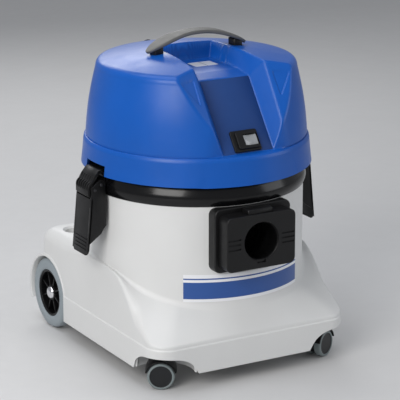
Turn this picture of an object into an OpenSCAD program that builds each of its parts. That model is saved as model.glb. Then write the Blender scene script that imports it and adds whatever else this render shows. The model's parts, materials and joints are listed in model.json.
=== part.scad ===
// Wet and dry shop vacuum: a round tank on a moulded base with two rear
// wheels and two swivel casters, and a lift-off motor head held by two latches.
// +Z is up, the hose inlet and the switch face -Y. Sizes are in millimetres.

/* [Tank] */
// Outer radius of the tank
tank_r = 159; // [150:1:175]
// Wall thickness of the tank and base moulding
wall = 4; // [3:0.5:5]
// Height of the tank floor's upper face
tank_floor = 62; // [58:1:80]
// Height of the tank's top edge
tank_top = 266; // [240:1:300]

/* [Base] */
// Half width of the base
base_half_w = 163; // [160:1:180]
// Distance from the tank axis to the base's front
base_front = 172; // [168:1:190]
// Distance from the tank axis to the base's back
base_back = 205; // [200:1:215]
// Clearance under the base skirt
skirt_z = 25; // [20:1:28]
// Height of the ledge along the top of the skirt band
band_z = 66; // [60:1:72]
// Corner radius of the base
base_corner_r = 33; // [20:1:45]
// Height of the rear deck
deck_z = 158; // [150:1:170]
// Height at which the base meets the tank in front
saddle_z = 112; // [100:1:125]
// Radius of the accessory holes in the deck
tool_r = 17.5; // [14:0.5:20]
// Depth of the accessory holes
tool_depth = 38; // [25:1:40]

/* [Rear wheels] */
// Radius of a rear tyre
wheel_r = 55; // [45:1:60]
// Width of a rear tyre
wheel_w = 22; // [18:1:24]
// Radius of the hub inside the tyre
hub_r = 37; // [28:1:42]
// Radius of the rear axle
axle_r = 5; // [4:0.5:6]
// Distance from the tank axis back to the rear axle
axle_y = 182; // [178:1:190]
// Number of spokes in a hub
spoke_count = 8; // [5:1:12]

/* [Casters] */
// Radius of a caster wheel
caster_r = 20; // [15:0.5:20]
// Width of one caster wheel
caster_w = 12; // [8:0.5:14]
// Distance of a caster's stem from the middle plane
caster_x = 142; // [136:1:145]
// Distance of a caster's stem in front of the tank axis
caster_y = 128; // [120:1:132]
// Trail of a caster, from its stem to its axle
caster_trail = 9; // [6:0.5:11]
// Radius of a caster's stem
stem_r = 5.5; // [4:0.5:6]
// Direction in which the left caster trails
caster_turn_left = -30; // [-180:1:180]
// Direction in which the right caster trails
caster_turn_right = 207; // [0:1:360]

/* [Head] */
// Outer radius of the head's rim at its lower edge
rim_r = 170; // [168:1:172]
// Height of the rim band
rim_h = 44; // [38:1:50]
// Height of the head's crown above the tank's top edge
crown_h = 197; // [190:1:210]
// Wall thickness of the head cover
head_wall = 3.5; // [2.5:0.5:4]
// Half width of the front channel's floor
channel_half_w = 41; // [36:1:46]
// Height of the platform inside the channel above the tank's top edge
platform_h = 167; // [160:1:170]

/* [Handle] */
// Half length of the handle strap
strap_half_l = 84; // [76:1:90]
// Thickness of the handle strap
strap_t = 6; // [5:0.5:8]
// Width of the strap over the channel
strap_w = 26; // [22:1:29]
// Height of the strap's top above the head's crown
strap_rise = 25; // [20:1:30]

/* [Hose inlet] */
// Radius of the hose bore
inlet_r = 27.5; // [20:0.5:29]
// Height of the hose bore's axis
inlet_z = 213; // [205:1:218]
// Half width of the inlet housing
inlet_half_w = 57; // [50:1:60]
// Half height of the inlet housing
inlet_half_h = 40.5; // [36:0.5:42]
// Distance the hose inlet stands out in front of the tank
inlet_reach = 29; // [25:1:37]
// Travel of the hose release button
button_travel = 3; // [2:0.5:4]

/* [Latches] */
// Half width of a latch lever
lever_half_w = 24; // [20:1:26]
// Radius of the latch pins
pin_r = 2.5; // [2:0.25:3]

/* [Motor and filter] */
// Radius of the motor's fan housing
fan_r = 70; // [60:1:76]
// Radius of the filter cartridge
filter_r = 90; // [75:1:100]
// Number of pleats in the filter
pleat_count = 36; // [24:1:48]
// Radius of the float ball
float_r = 19; // [15:1:21]

/* [Hidden] */
$fn = 96;
eps = 0.01;
// Clearances: a still fit, a running fit and a gap between moving bodies
still_fit = 0.1;
running_fit = 0.05;
move_gap = 0.5;

// Tank ring, seal and deck stack, from the tank's top edge up
ring_out_r = tank_r + 4;
ring_in_r = tank_r - 10;
ring_top = tank_top + 25;
seal_t = 2;
deck_t = 4;
rim_z = ring_top + 1;
deck_bottom = ring_top + seal_t;
deck_top = deck_bottom + deck_t;
deck_r = rim_r - head_wall - 1.5;
tank_in_r = tank_r - wall;
inlet_front = tank_r + inlet_reach;
base_wall = wall + 1;

// Wheel wells
well_r = wheel_r + 3.5;
well_wall = 3.5;
wheel_out_x = base_half_w - 1;
well_in_x = wheel_out_x - wheel_w - 4;
fender_r = well_r + well_wall;
rear_y = axle_y + fender_r;

// Front arches over the casters
arch_top = caster_r * 2 + 14;
arch_r = 49.5;
arch_centre = [caster_x - 2, -caster_y - 20];
web_t = 6;

// Head heights and planes
head_r = rim_r - 5.5;
shoulder_z = rim_z + rim_h;
crown_z = tank_top + crown_h;
platform_z = tank_top + platform_h;
dome_r = 684;
panel_t = 2;
panel_tilt = 53.5;
panel_len = 119.5;
panel_y = -80;
panel_z = platform_z - 4;
facet_offset = 26;
notch_half_w = 28;
notch_top = rim_z + 17;
channel_back_y = 38;

// Switch
switch_w = 44;
switch_l = 33;
switch_v = -100;
rocker_x = 7.5;
rocker_w = 22;
rocker_l = 16;
rocker_pivot_z = -5;

// Latch geometry for the left side, mirrored for the right one
lever_pin_pos = [-tank_r - 12, tank_top + 14];
hook_pin_pos = [-tank_r - 22, tank_top + 7];
cheek_t = 3.5;
hook_half_w = lever_half_w - cheek_t - 0.6;
hook_z = deck_top + 0.4;
nose_t = 3;

// Height of the spring under the release button: its travel and its closed height
spring_h = button_travel + 1.5;

// Motor
motor_z = deck_top + 3;
fan_h = 45;
frame_z = motor_z + fan_h;
frame_h = 52;
frame_r = 48;
shaft_r = 4;
eye_r = 34;

// The whole part is moved so that the middle of its box is over the origin
frame_shift = (inlet_front - rear_y) / 2;

module part_frame() translate([0, frame_shift, 0]) children();
module both_sides() {
    children();
    mirror([1, 0, 0]) children();
}
module right_side() mirror([1, 0, 0]) children();
module along_y() rotate([-90, 0, 0]) children();
module along_x() rotate([0, 90, 0]) children();
module ring(outer, inner, h) difference() {
    cylinder(r = outer, h = h);
    translate([0, 0, -1]) cylinder(r = inner, h = h + 2);
}
module round_rect(w, h, r) {
    square([w - 2 * r, h], center = true);
    square([w, h - 2 * r], center = true);
    for (x = [-1, 1], y = [-1, 1])
        translate([x * (w / 2 - r), y * (h / 2 - r)]) circle(r = r, $fn = 32);
}

// ---- Tank and base moulding ----
module base_plan(inset, grow = 0) {
    r = max(base_corner_r - inset + grow, 3);
    rear_r = 18;
    for (x = [-1, 1]) {
        translate([x * (base_half_w - base_corner_r), -base_front + base_corner_r]) circle(r = r, $fn = 48);
        translate([x * (base_half_w - rear_r), base_back - rear_r])
            circle(r = max(rear_r - inset + grow, 3), $fn = 48);
    }
}
module base_solid(inset, bottom) hull() {
    translate([0, 0, bottom]) linear_extrude(band_z - bottom) base_plan(inset);
    translate([0, 0, saddle_z - 1 - inset]) cylinder(r = tank_r + 2 - inset, h = 1, $fn = 64);
    for (x = [-1, 1]) {
        translate([x * (base_half_w - 8), -58, deck_z - 20 - inset]) cylinder(r = 8 - inset, h = 8, $fn = 24);
        translate([x * (base_half_w - 8), base_back - 14, deck_z - 20 - inset])
            cylinder(r = 8 - inset, h = 8, $fn = 24);
        translate([x * (base_half_w - 24), -30, deck_z - 2 - inset]) cylinder(r = 12 - inset, h = 2, $fn = 24);
        translate([x * (base_half_w - 24), base_back - 26, deck_z - 2 - inset])
            cylinder(r = 12 - inset, h = 2, $fn = 24);
    }
}
module wheel_well() {
    translate([well_in_x, axle_y, wheel_r]) along_x() cylinder(r = well_r, h = base_half_w - well_in_x + 5);
    translate([well_in_x, axle_y - well_r, -1])
        cube([base_half_w - well_in_x + 5, 2 * well_r + 5, wheel_r + 1]);
}
module fender() difference() {
    translate([well_in_x - well_wall, axle_y, wheel_r]) along_x()
        cylinder(r = fender_r, h = base_half_w - well_in_x + well_wall);
    translate([0, axle_y - fender_r - 1, -20]) cube([base_half_w + 1, 2 * fender_r + 2, skirt_z + 25]);
}
module caster_arch() {
    translate([arch_centre[0], arch_centre[1], -1]) cylinder(r = arch_r, h = arch_top - 9);
    translate([arch_centre[0], arch_centre[1], arch_top - 10 - eps])
        cylinder(r1 = arch_r, r2 = arch_r - 9, h = 10);
    translate([caster_x, -caster_y, -1])
        cylinder(r = caster_trail + caster_r + 8, h = arch_top + 1);
}
// Half-angle of the sticker round the tank
sticker_turn = 36.5;
tool_x = base_half_w - 38;
tool_y = 155;
// The base moulding is divided at this plane into its front and rear nodes
base_split_y = -75;
module tank_cut() {
    translate([0, -inlet_front, inlet_z]) along_y() cylinder(r = inlet_r + 3.5, h = 60);
    inlet_screw_shapes(still_fit);
}
module tank_shell() color("gainsboro") difference() {
    translate([0, 0, tank_floor - wall]) cylinder(r = tank_r, h = tank_top - tank_floor + wall);
    translate([0, 0, tank_floor]) cylinder(r = tank_in_r, h = tank_top);
    tank_cut();
}
module base_moulding() difference() {
    union() {
        difference() {
            base_solid(0, skirt_z);
            base_solid(base_wall, -1);
        }
        difference() {
            translate([0, 0, skirt_z]) linear_extrude(band_z - skirt_z) hull() base_plan(0, 1.5);
            translate([0, 0, skirt_z - 1]) linear_extrude(band_z) hull() base_plan(base_wall);
        }
        // Webs that carry the caster sockets
        intersection() {
            base_solid(1, skirt_z);
            both_sides() translate([caster_x - 52, -base_front, arch_top]) cube([80, 88, web_t]);
        }
        both_sides() {
            translate([caster_x, -caster_y, arch_top]) cylinder(r = stem_r + 7, h = 32);
            fender();
            translate([well_in_x - 20, axle_y, wheel_r]) along_x() cylinder(r = axle_r + 6, h = 20);
        }
    }
    translate([0, 0, tank_floor - wall]) cylinder(r = tank_r, h = tank_top);
    both_sides() {
        wheel_well();
        caster_arch();
        translate([caster_x, -caster_y, 0]) cylinder(r = stem_r + 2 + still_fit, h = arch_top + 28);
        translate([tool_x, tool_y, deck_z - tool_depth]) cylinder(r = tool_r, h = tool_depth + 5);
    }
    translate([-base_half_w, axle_y, wheel_r]) along_x() cylinder(r = axle_r + still_fit, h = 2 * base_half_w);
}
module base_front() color("gainsboro") difference() {
    base_moulding();
    translate([-300, base_split_y, -50]) cube([600, 600, 400]);
}
module base_rear() color("gainsboro") difference() {
    base_moulding();
    translate([-300, base_split_y - 600, -50]) cube([600, 600, 400]);
}
module tool_cups() color("gainsboro") both_sides() difference() {
    translate([tool_x, tool_y, deck_z - tool_depth - 3])
        cylinder(r = tool_r + 3, h = tool_depth + 3 - base_wall);
    translate([tool_x, tool_y, deck_z - tool_depth]) cylinder(r = tool_r, h = tool_depth + 5);
}
module tank_ring() color([0.09, 0.09, 0.1]) rotate_extrude($fn = 180) difference() {
    union() {
        translate([ring_in_r, tank_top - 4]) square([ring_out_r - 3 - ring_in_r, 29]);
        translate([ring_in_r, tank_top - 1]) square([ring_out_r - ring_in_r, 21]);
        for (z = [tank_top - 1, tank_top + 20])
            translate([ring_out_r - 3, z]) scale([1, z < tank_top ? 1 : 5 / 3]) circle(r = 3, $fn = 32);
    }
    translate([tank_in_r - still_fit, tank_top - 10]) square([wall + 2 * still_fit, 10]);
}
module deck_seals() color([0.15, 0.15, 0.15]) {
    translate([0, 0, ring_top]) ring(ring_out_r - 3, ring_in_r + 2, seal_t);
    translate([0, 0, deck_top]) ring(fan_r - 4, eye_r + 2, 3);
}
module tank_sticker() color("white") intersection() {
    translate([0, 0, saddle_z + 8]) ring(tank_r + 0.55, tank_r + 0.15, 41);
    rotate([0, 0, 270 - sticker_turn]) rotate_extrude(angle = 2 * sticker_turn) square([tank_r + 10, deck_z + 20]);
}

// ---- Hose inlet ----
module inlet_screw_shapes(grow) for (x = [-1, 1], z = [-1, 1])
    translate([x * (inlet_half_w - 8), -tank_r - 3, inlet_z + z * (inlet_half_h - 6)])
        along_y() cylinder(r = 2 + grow, h = 22, $fn = 24);
module inlet_flange() color([0.12, 0.12, 0.13]) difference() {
    translate([0, -tank_r - 5, inlet_z + 0.7]) along_y() linear_extrude(28)
        round_rect(2 * inlet_half_w + 12, 2 * inlet_half_h + 14, 8);
    translate([0, 0, inlet_z - 90]) cylinder(r = tank_r + still_fit, h = 180, $fn = 180);
    tank_cut();
}
module inlet_box() color([0.13, 0.13, 0.14]) difference() {
    union() {
        translate([0, -inlet_front, inlet_z]) along_y()
            linear_extrude(inlet_front - tank_r - 5) round_rect(2 * inlet_half_w, 2 * inlet_half_h, 9);
        translate([0, -inlet_front, inlet_z]) along_y() cylinder(r = inlet_r + 3.4, h = inlet_front - tank_r - 5);
    }
    translate([0, -inlet_front - 1, inlet_z]) along_y() cylinder(r = inlet_r, h = 60);
    translate([-7, -inlet_front - 1, inlet_z - inlet_r - 3]) cube([14, 6, 6]);
    for (x = [-1, 1], k = [-1, 0, 1])
        translate([x * (inlet_half_w - 14), -inlet_front, inlet_z + k * 7]) cube([19, 4, 2.6], center = true);
    // Pocket for the release button
    translate([-20 - move_gap, -inlet_front + 4 - move_gap, inlet_z + inlet_half_h - 3.5 - spring_h])
        cube([40 + 2 * move_gap, 18 + 2 * move_gap, spring_h + 10]);
}
module release_button() color([0.1, 0.1, 0.1])
    translate([0, -inlet_front + 4 + 9, inlet_z + inlet_half_h - 3.5]) intersection() {
        linear_extrude(11) round_rect(40, 18, 3);
        translate([-30, 0, 2]) along_x() cylinder(r = 11, h = 60, $fn = 64);
    }
module button_spring() color("silver") translate([0, -inlet_front + 13, inlet_z + inlet_half_h - 3.5 - spring_h])
    for (k = [0:2]) translate([0, 0, spring_h * (2 * k + 1) / 6])
        rotate_extrude($fn = 32) translate([4, 0]) circle(r = spring_h / 6, $fn = 16);
module inlet_deflector() color([0.16, 0.16, 0.17]) difference() {
    translate([0, -tank_in_r + 12, inlet_z]) along_y() cylinder(r = inlet_r + 6, h = 34);
    translate([0, -tank_in_r, inlet_z]) along_y() cylinder(r = inlet_r + 3, h = 42);
    translate([0, -tank_in_r + 24, inlet_z - 20]) cube([60, 20, 40]);
}

// ---- Rear wheels, right side drawn, mirrored for the left ----
module rear_axle() color("silver") translate([-wheel_out_x + 4, axle_y, wheel_r]) along_x()
    cylinder(r = axle_r, h = 2 * (wheel_out_x - 4));
module axle_caps() color([0.85, 0.85, 0.87]) both_sides() translate([wheel_out_x - 4, axle_y, wheel_r])
    along_x() intersection() {
        cylinder(r = 10, h = 5);
        translate([0, 0, -8]) sphere(r = 12.8, $fn = 96);
    }
module wheel_hub_right() color([0.06, 0.06, 0.06]) translate([wheel_out_x - wheel_w, axle_y, wheel_r])
    along_x() difference() {
        union() {
            translate([0, 0, 2]) ring(hub_r, hub_r - 4, wheel_w - 6);
            translate([0, 0, 6]) cylinder(r = hub_r - 3, h = 3);
            cylinder(r = axle_r + 6, h = wheel_w - 5);
            for (k = [0:spoke_count - 1]) rotate([0, 0, (k + 0.5) * 360 / spoke_count])
                translate([axle_r + 4, -1, 8]) cube([hub_r - axle_r - 7, 2, wheel_w - 14]);
        }
        translate([0, 0, -1]) cylinder(r = axle_r + running_fit, h = wheel_w + 2);
    }
module tyre_right() color([0.55, 0.6, 0.63]) translate([wheel_out_x - wheel_w, axle_y, wheel_r])
    along_x() rotate_extrude($fn = 120) {
        translate([hub_r, 2]) square([wheel_r - hub_r - 4, wheel_w - 4]);
        translate([hub_r, 4]) square([wheel_r - hub_r, wheel_w - 8]);
        translate([hub_r + 2, 0]) square([wheel_r - hub_r - 6, wheel_w]);
        for (z = [4, wheel_w - 4]) translate([wheel_r - 4, z]) circle(r = 4, $fn = 32);
        for (z = [2, wheel_w - 2]) translate([hub_r + 2, z]) circle(r = 2, $fn = 24);
    }

// ---- Casters ----
module caster_place(side) translate([side * caster_x, -caster_y, 0])
    rotate([0, 0, side < 0 ? caster_turn_left : caster_turn_right]) children();
module caster_line() translate([caster_trail, 0, caster_r]) along_y() children();
module caster_pins(side) color("silver") caster_place(side) {
    translate([0, 0, arch_top - 12]) cylinder(r = stem_r, h = 36);
    translate([0, 0, arch_top - 4]) cylinder(r = stem_r + 3, h = 2);
    caster_line() translate([0, 0, -caster_w]) cylinder(r = 3, h = 2 * caster_w);
}
module caster_sockets() color([0.2, 0.2, 0.21]) both_sides() translate([caster_x, -caster_y, arch_top - 1.5])
    difference() {
        union() {
            cylinder(r = stem_r + 2, h = 29.4);
            cylinder(r = stem_r + 6, h = 1.5);
        }
        translate([0, 0, -1]) cylinder(r = stem_r + running_fit, h = 32);
    }
module caster_hood(side) color([0.05, 0.05, 0.05]) caster_place(side) difference() {
    union() {
        difference() {
            caster_line() translate([0, 0, -caster_w - 5]) cylinder(r = caster_r + 3.6, h = 2 * caster_w + 10);
            for (s = [-1, 1]) caster_line() translate([0, 0, s > 0 ? 3.2 : -3.2 - caster_w - 4])
                cylinder(r = caster_r + 0.8, h = caster_w + 4);
            translate([-50, -50, -50]) cube([100, 100, 50 + caster_r + 6]);
        }
        caster_line() translate([0, 0, -3.2]) cylinder(r = caster_r - 4, h = 6.4);
        translate([0, 0, caster_r + 12]) cylinder(r = stem_r + 4, h = caster_r - 4);
    }
    for (s = [-1, 1]) caster_line() translate([0, 0, s > 0 ? 3.2 : -3.2 - caster_w - 1])
        cylinder(r = caster_r + 0.8, h = caster_w + 1);
    caster_line() translate([0, 0, -20]) cylinder(r = 3 + still_fit, h = 40);
    translate([0, 0, arch_top - 12.1]) cylinder(r = stem_r + still_fit, h = 20);
    translate([0, 0, arch_top - 5]) cylinder(r = stem_r + 12, h = 20);
}
// The outer wheel is on the near side of the hood, the inner one on the far side
module caster_half(out) mirror([0, out, 0]) caster_line() translate([0, 0, 4]) children();
module caster_wheel(side, out) color([0.17, 0.17, 0.17]) caster_place(side) caster_half(out) difference() {
    union() {
        cylinder(r = caster_r - 3.7, h = caster_w - 1);
        cylinder(r = 5, h = caster_w - 0.5);
    }
    translate([0, 0, -1]) cylinder(r = 3 + running_fit, h = caster_w - 2);
}
module caster_tread(side, out) color([0.5, 0.55, 0.56]) caster_place(side) caster_half(out)
    rotate_extrude($fn = 96) {
        translate([caster_r - 3.7, 0]) square([2.2, caster_w]);
        translate([caster_r - 3.7, 1.5]) square([3.7, caster_w - 3]);
        for (z = [1.5, caster_w - 1.5]) translate([caster_r - 1.5, z]) circle(r = 1.5, $fn = 24);
    }

// ---- Latches, left side drawn ----
// An outline drawn in X and Z, given its thickness along Y
module slab_xz(y0, y1) translate([0, y1, 0]) rotate([90, 0, 0]) linear_extrude(y1 - y0) children();
module at_pin(pos) translate(pos) children();
module latch_brackets() color([0.07, 0.07, 0.07]) both_sides() difference() {
    union() {
        slab_xz(-14, 14) translate([-ring_out_r - 4, tank_top + 1]) square([8, 20]);
        for (y = [-14, 9]) slab_xz(y, y + 5) hull() {
            at_pin(lever_pin_pos) circle(r = pin_r + 3, $fn = 48);
            translate([-ring_out_r - 3, tank_top + 3]) square([2, 18]);
        }
    }
    translate([0, 0, tank_top - 10]) cylinder(r = ring_out_r + still_fit, h = 50, $fn = 180);
    slab_xz(-30, 30) at_pin(lever_pin_pos) circle(r = pin_r + still_fit, $fn = 48);
}
module lever_pins() color("silver") both_sides() slab_xz(-lever_half_w - 1, lever_half_w + 1)
    at_pin(lever_pin_pos) circle(r = pin_r, $fn = 48);
module hook_pin() color("silver") slab_xz(-lever_half_w - 0.6, lever_half_w + 0.6)
    at_pin(hook_pin_pos) circle(r = pin_r, $fn = 48);
lever_top = hook_pin_pos[1] - 13;
lever_bottom = lever_top - 84;
module cheek_outline() {
    hull() {
        at_pin(lever_pin_pos) circle(r = pin_r + 4.5, $fn = 48);
        at_pin(hook_pin_pos) circle(r = pin_r + 3.5, $fn = 48);
    }
    hull() {
        at_pin(hook_pin_pos) circle(r = pin_r + 3, $fn = 48);
        at_pin(lever_pin_pos) circle(r = pin_r + 3, $fn = 48);
        translate([-tank_r - 4, lever_top - 4]) circle(r = 1, $fn = 16);
        translate([-tank_r - 28, lever_top - 2]) circle(r = 1, $fn = 16);
    }
    polygon([[-tank_r - 3, lever_top - 4], [-tank_r - 5, lever_top - 42], [-tank_r - 9, lever_top - 46],
        [-tank_r - 13, lever_top - 53], [-tank_r - 35, lever_bottom + 14], [-tank_r - 29, lever_top - 2]]);
}
module latch_lever() color([0.16, 0.16, 0.16]) {
    for (s = [0, 1]) mirror([0, s, 0]) difference() {
        slab_xz(lever_half_w - cheek_t, lever_half_w) cheek_outline();
        slab_xz(0, 40) at_pin(lever_pin_pos) circle(r = pin_r + running_fit, $fn = 48);
        slab_xz(0, 40) at_pin(hook_pin_pos) circle(r = pin_r + still_fit, $fn = 48);
    }
    difference() {
        slab_xz(-lever_half_w, lever_half_w) polygon([[-tank_r - 25, lever_top], [-tank_r - 29, lever_top],
            [-tank_r - 37, lever_bottom], [-tank_r - 33, lever_bottom]]);
        for (s = [-1, 1]) translate([-tank_r - 40, s * (lever_half_w + 6), lever_bottom - 4])
            rotate([45 * s, 0, 0]) cube([20, 18, 18], center = true);
        for (k = [0:3]) translate([-tank_r - 37.6 + 0.7 * k, 0, lever_bottom + 8 + 6 * k])
            cube([2.4, 2 * lever_half_w - 10, 1.6], center = true);
    }
}
module hook_outline() {
    polygon(concat(
        [[-tank_r - 28, hook_pin_pos[1] - 12]],
        [for (a = [180:-10:120]) hook_pin_pos + 9.5 * [cos(a), sin(a)] + [0, 2]],
        [[-tank_r - 21, hook_z - 6], [-tank_r - 14, hook_z + nose_t], [-tank_r - 3, hook_z + nose_t],
        [-tank_r - 3, hook_z], [-tank_r - 11, hook_z], [-tank_r - 16.5, hook_z - 7]],
        [for (a = [100:20:180]) hook_pin_pos + 5.5 * [cos(a), sin(a)] + [0, 2]],
        [[-tank_r - 25, hook_pin_pos[1] - 12]]));
}
module latch_hook() color([0.14, 0.14, 0.14]) difference() {
    union() {
        slab_xz(-hook_half_w, hook_half_w) hook_outline();
        for (s = [0, 1]) mirror([0, s, 0]) slab_xz(hook_half_w - 5, hook_half_w)
            at_pin(hook_pin_pos) circle(r = pin_r + 3.2, $fn = 48);
        for (y = [-12:6:12]) slab_xz(y - 0.8, y + 0.8) intersection() {
            at_pin(hook_pin_pos + [0, 2]) circle(r = 10.3, $fn = 64);
            translate([-tank_r - 40, hook_pin_pos[1] - 2]) square([16, 20]);
        }
    }
    slab_xz(-30, 30) at_pin(hook_pin_pos) circle(r = pin_r + running_fit, $fn = 48);
}

// ---- Head ----
module panel_frame(lift = 0) translate([0, panel_y, panel_z]) rotate([panel_tilt, 0, 0])
    translate([0, 0, lift]) children();
function panel_point(v, lift) = [0,
    panel_y + v * cos(panel_tilt) - lift * sin(panel_tilt),
    panel_z + v * sin(panel_tilt) + lift * cos(panel_tilt)];
// Height of the head's crown over a point at distance r from the axis
function dome_z(r) = crown_z - r * r / (2 * dome_r);
// Half-profile of the head's wall and crown: radius and height
function head_profile(inset) = concat([
    [head_r - inset, shoulder_z + 4],
    [head_r - 3.5 - inset, shoulder_z + 39],
    [head_r - 7.5 - inset, shoulder_z + 64],
    [head_r - 14.5 - inset, shoulder_z + 94],
    [head_r - 18.5 - inset, shoulder_z + 107],
    [head_r - 21.5 - inset, dome_z(145) - 2 - inset]],
    [for (r = [140:-20:0]) [r, dome_z(r) - inset]]);
module head_round(inset) rotate_extrude($fn = 180) polygon(concat(
    [[0, rim_z - (inset > 0 ? 1 : 0)], [rim_r - inset, rim_z - (inset > 0 ? 1 : 0)],
    [rim_r - 3 - inset, shoulder_z]], head_profile(inset)));
module head_mass(inset) intersection() {
    head_round(inset);
    panel_frame(facet_offset - inset) translate([-200, -300, -400]) cube([400, 600, 400]);
}
// Space of the front channel: the part over the panel and the part over the platform
module channel_front(grow) hull() for (x = [-1, 1]) {
    w = channel_half_w + grow;
    translate(panel_point(0, -grow) + [x * w, 0, 0]) cube(eps, center = true);
    translate(panel_point(-145, -grow) + [x * w, 0, 0]) cube(eps, center = true);
    translate(panel_point(4, 60) + [x * (w + 42), 0, 0]) cube(eps, center = true);
    translate(panel_point(-145, 60) + [x * (w + 42), 0, 0]) cube(eps, center = true);
}
module channel_back(grow) hull() for (x = [-1, 1]) {
    w = channel_half_w + grow;
    translate([x * w, panel_y, panel_z - grow]) cube(eps, center = true);
    translate([x * (w + 3), channel_back_y + grow, platform_z - grow]) cube(eps, center = true);
    translate([x * (w + 18), channel_back_y + 14 + grow, platform_z + 60]) cube(eps, center = true);
    translate([x * (w + 42), panel_y - 44, panel_z + 60]) cube(eps, center = true);
}
module head_cover() color([0.06, 0.33, 0.68]) difference() {
    union() {
        difference() {
            head_mass(0);
            difference() {
                head_mass(head_wall);
                channel_front(head_wall + panel_t);
                channel_back(head_wall);
            }
        }
        for (a = [45:90:315]) rotate([0, 0, a]) {
            translate([138, 0, deck_top]) cylinder(r = 6, h = 30, $fn = 48);
            translate([138, -1.5, deck_top]) cube([rim_r - 141, 3, 30]);
        }
    }
    channel_front(panel_t);
    channel_back(0);
    for (a = [45:90:315]) rotate([0, 0, a]) translate([138, 0, deck_top - 1])
        cylinder(r = 2 + still_fit, h = 20, $fn = 32);
    both_sides() translate([-rim_r - 10, -notch_half_w, rim_z - 1])
        cube([20, 2 * notch_half_w, notch_top - rim_z + 1]);
    // Triangular recesses in the two front facets
    both_sides() panel_frame(facet_offset - 1.6) linear_extrude(10) hull() for (p = [[68, -14], [96, -12], [66, -52]])
        translate(p) circle(r = 3, $fn = 24);
    panel_frame(-30) translate([-switch_w / 2 + 2, switch_v - switch_l / 2 + 2, 0])
        cube([switch_w - 4, switch_l - 4, 60]);
    translate([0, 130, crown_z - 30]) along_y() cylinder(r = 9, h = 40, $fn = 48);
    both_sides() translate([66, 0, crown_z - 30]) cylinder(r = 2 + still_fit, h = 40, $fn = 32);
}
module control_panel() color([0.17, 0.22, 0.38]) difference() {
    panel_frame(-panel_t) linear_extrude(panel_t)
        translate([0, -panel_len / 2]) square([2 * channel_half_w - 0.6, panel_len - 1], center = true);
    panel_frame(-30) translate([-switch_w / 2 + 2, switch_v - switch_l / 2 + 2, 0])
        cube([switch_w - 4, switch_l - 4, 60]);
}
module switch_body() color([0.08, 0.08, 0.08]) difference() {
    panel_frame(-22) difference() {
        translate([0, switch_v, 0]) linear_extrude(22) round_rect(switch_w - 4.2, switch_l - 4.2, 2);
        translate([rocker_x - rocker_w / 2 - move_gap, switch_v - rocker_l / 2 - move_gap, 8])
            cube([rocker_w + 2 * move_gap, rocker_l + 2 * move_gap, 20]);
    }
    rocker_pivot(2 + running_fit, rocker_l + 6);
}
module switch_bezel() color([0.06, 0.06, 0.06]) panel_frame(0) difference() {
    translate([0, switch_v, 0]) union() {
        linear_extrude(4) round_rect(switch_w, switch_l, 3);
        linear_extrude(6.5) round_rect(switch_w - 10, switch_l - 6, 3);
    }
    translate([rocker_x - rocker_w / 2 - move_gap, switch_v - rocker_l / 2 - move_gap, -1])
        cube([rocker_w + 2 * move_gap, rocker_l + 2 * move_gap, 20]);
}
module rocker_pivot(r, l) panel_frame(rocker_pivot_z) translate([rocker_x, switch_v + l / 2, 0])
    rotate([90, 0, 0]) cylinder(r = r, h = l, $fn = 48);
module switch_rocker() color([0.45, 0.47, 0.5]) {
    panel_frame(0) translate([rocker_x, switch_v, 0]) rotate([90, 0, 0]) translate([0, 0, -rocker_l / 2])
        linear_extrude(rocker_l) polygon([[1 - rocker_w / 2, rocker_pivot_z], [1.5 - rocker_w / 2, 5.5], [0, 4],
            [rocker_w / 2 - 1.5, 5.5], [rocker_w / 2 - 1, rocker_pivot_z], [6, -9], [-6, -9]]);
    rocker_pivot(2, rocker_l + 5);
}
module rating_label() color("white") translate([14, 5, platform_z - 1.05]) rotate([1.94, 0, 0])
    linear_extrude(0.5) square([38, 28], center = true);

// ---- Handle ----
strap_top = crown_z + strap_rise;
strap_arc_r = 149;
leaf_l = 34;
leaf_w = 15;
leaf_r = (leaf_l * leaf_l + leaf_w * leaf_w) / (2 * leaf_w);
module handle_strap() color([0.14, 0.14, 0.14]) difference() {
    intersection() {
        translate([0, -30, strap_top - strap_arc_r]) along_y() difference() {
            cylinder(r = strap_arc_r, h = 60, $fn = 240);
            translate([0, 0, -1]) cylinder(r = strap_arc_r - strap_t, h = 62, $fn = 240);
        }
        translate([0, 0, strap_top - 60]) linear_extrude(80) union() {
            square([2 * (strap_half_l - leaf_l), strap_w], center = true);
            for (x = [-1, 1]) translate([x * (strap_half_l - leaf_l), 0]) intersection() {
                translate([0, leaf_r - leaf_w]) circle(r = leaf_r, $fn = 180);
                translate([0, leaf_w - leaf_r]) circle(r = leaf_r, $fn = 180);
            }
        }
    }
    head_round(0);
}
module handle_feet() color([0.05, 0.05, 0.05]) both_sides() difference() {
    translate([59, -9, dome_z(66) - 4]) cube([14, 18, 30]);
    translate([0, -30, strap_top - strap_arc_r]) along_y() difference() {
        cylinder(r = strap_arc_r + 60, h = 60, $fn = 240);
        translate([0, 0, -1]) cylinder(r = strap_arc_r - strap_t - still_fit, h = 62, $fn = 240);
    }
    head_round(0);
    translate([66, 0, crown_z - 30]) cylinder(r = 2 + still_fit, h = 40, $fn = 32);
}
module fixing_screws() color("silver") {
    both_sides() {
        translate([66, 0, dome_z(66) - head_wall - 2.5]) cylinder(r = 4, h = 2, $fn = 32);
        translate([66, 0, dome_z(66) - head_wall - 1]) cylinder(r = 2, h = 8.5, $fn = 32);
    }
    for (a = [45:90:315]) rotate([0, 0, a]) translate([138, 0, 0]) {
        translate([0, 0, deck_bottom - 2.5]) cylinder(r = 4.5, h = 2.5, $fn = 32);
        translate([0, 0, deck_bottom - 1]) cylinder(r = 2, h = 19, $fn = 32);
    }
    inlet_screw_shapes(0);
    for (x = [-1, 1], z = [-1, 1])
        translate([x * (inlet_half_w - 8), -tank_r + 19, inlet_z + z * (inlet_half_h - 6)])
            along_y() cylinder(r = 4, h = 2.5, $fn = 32);
}
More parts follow.
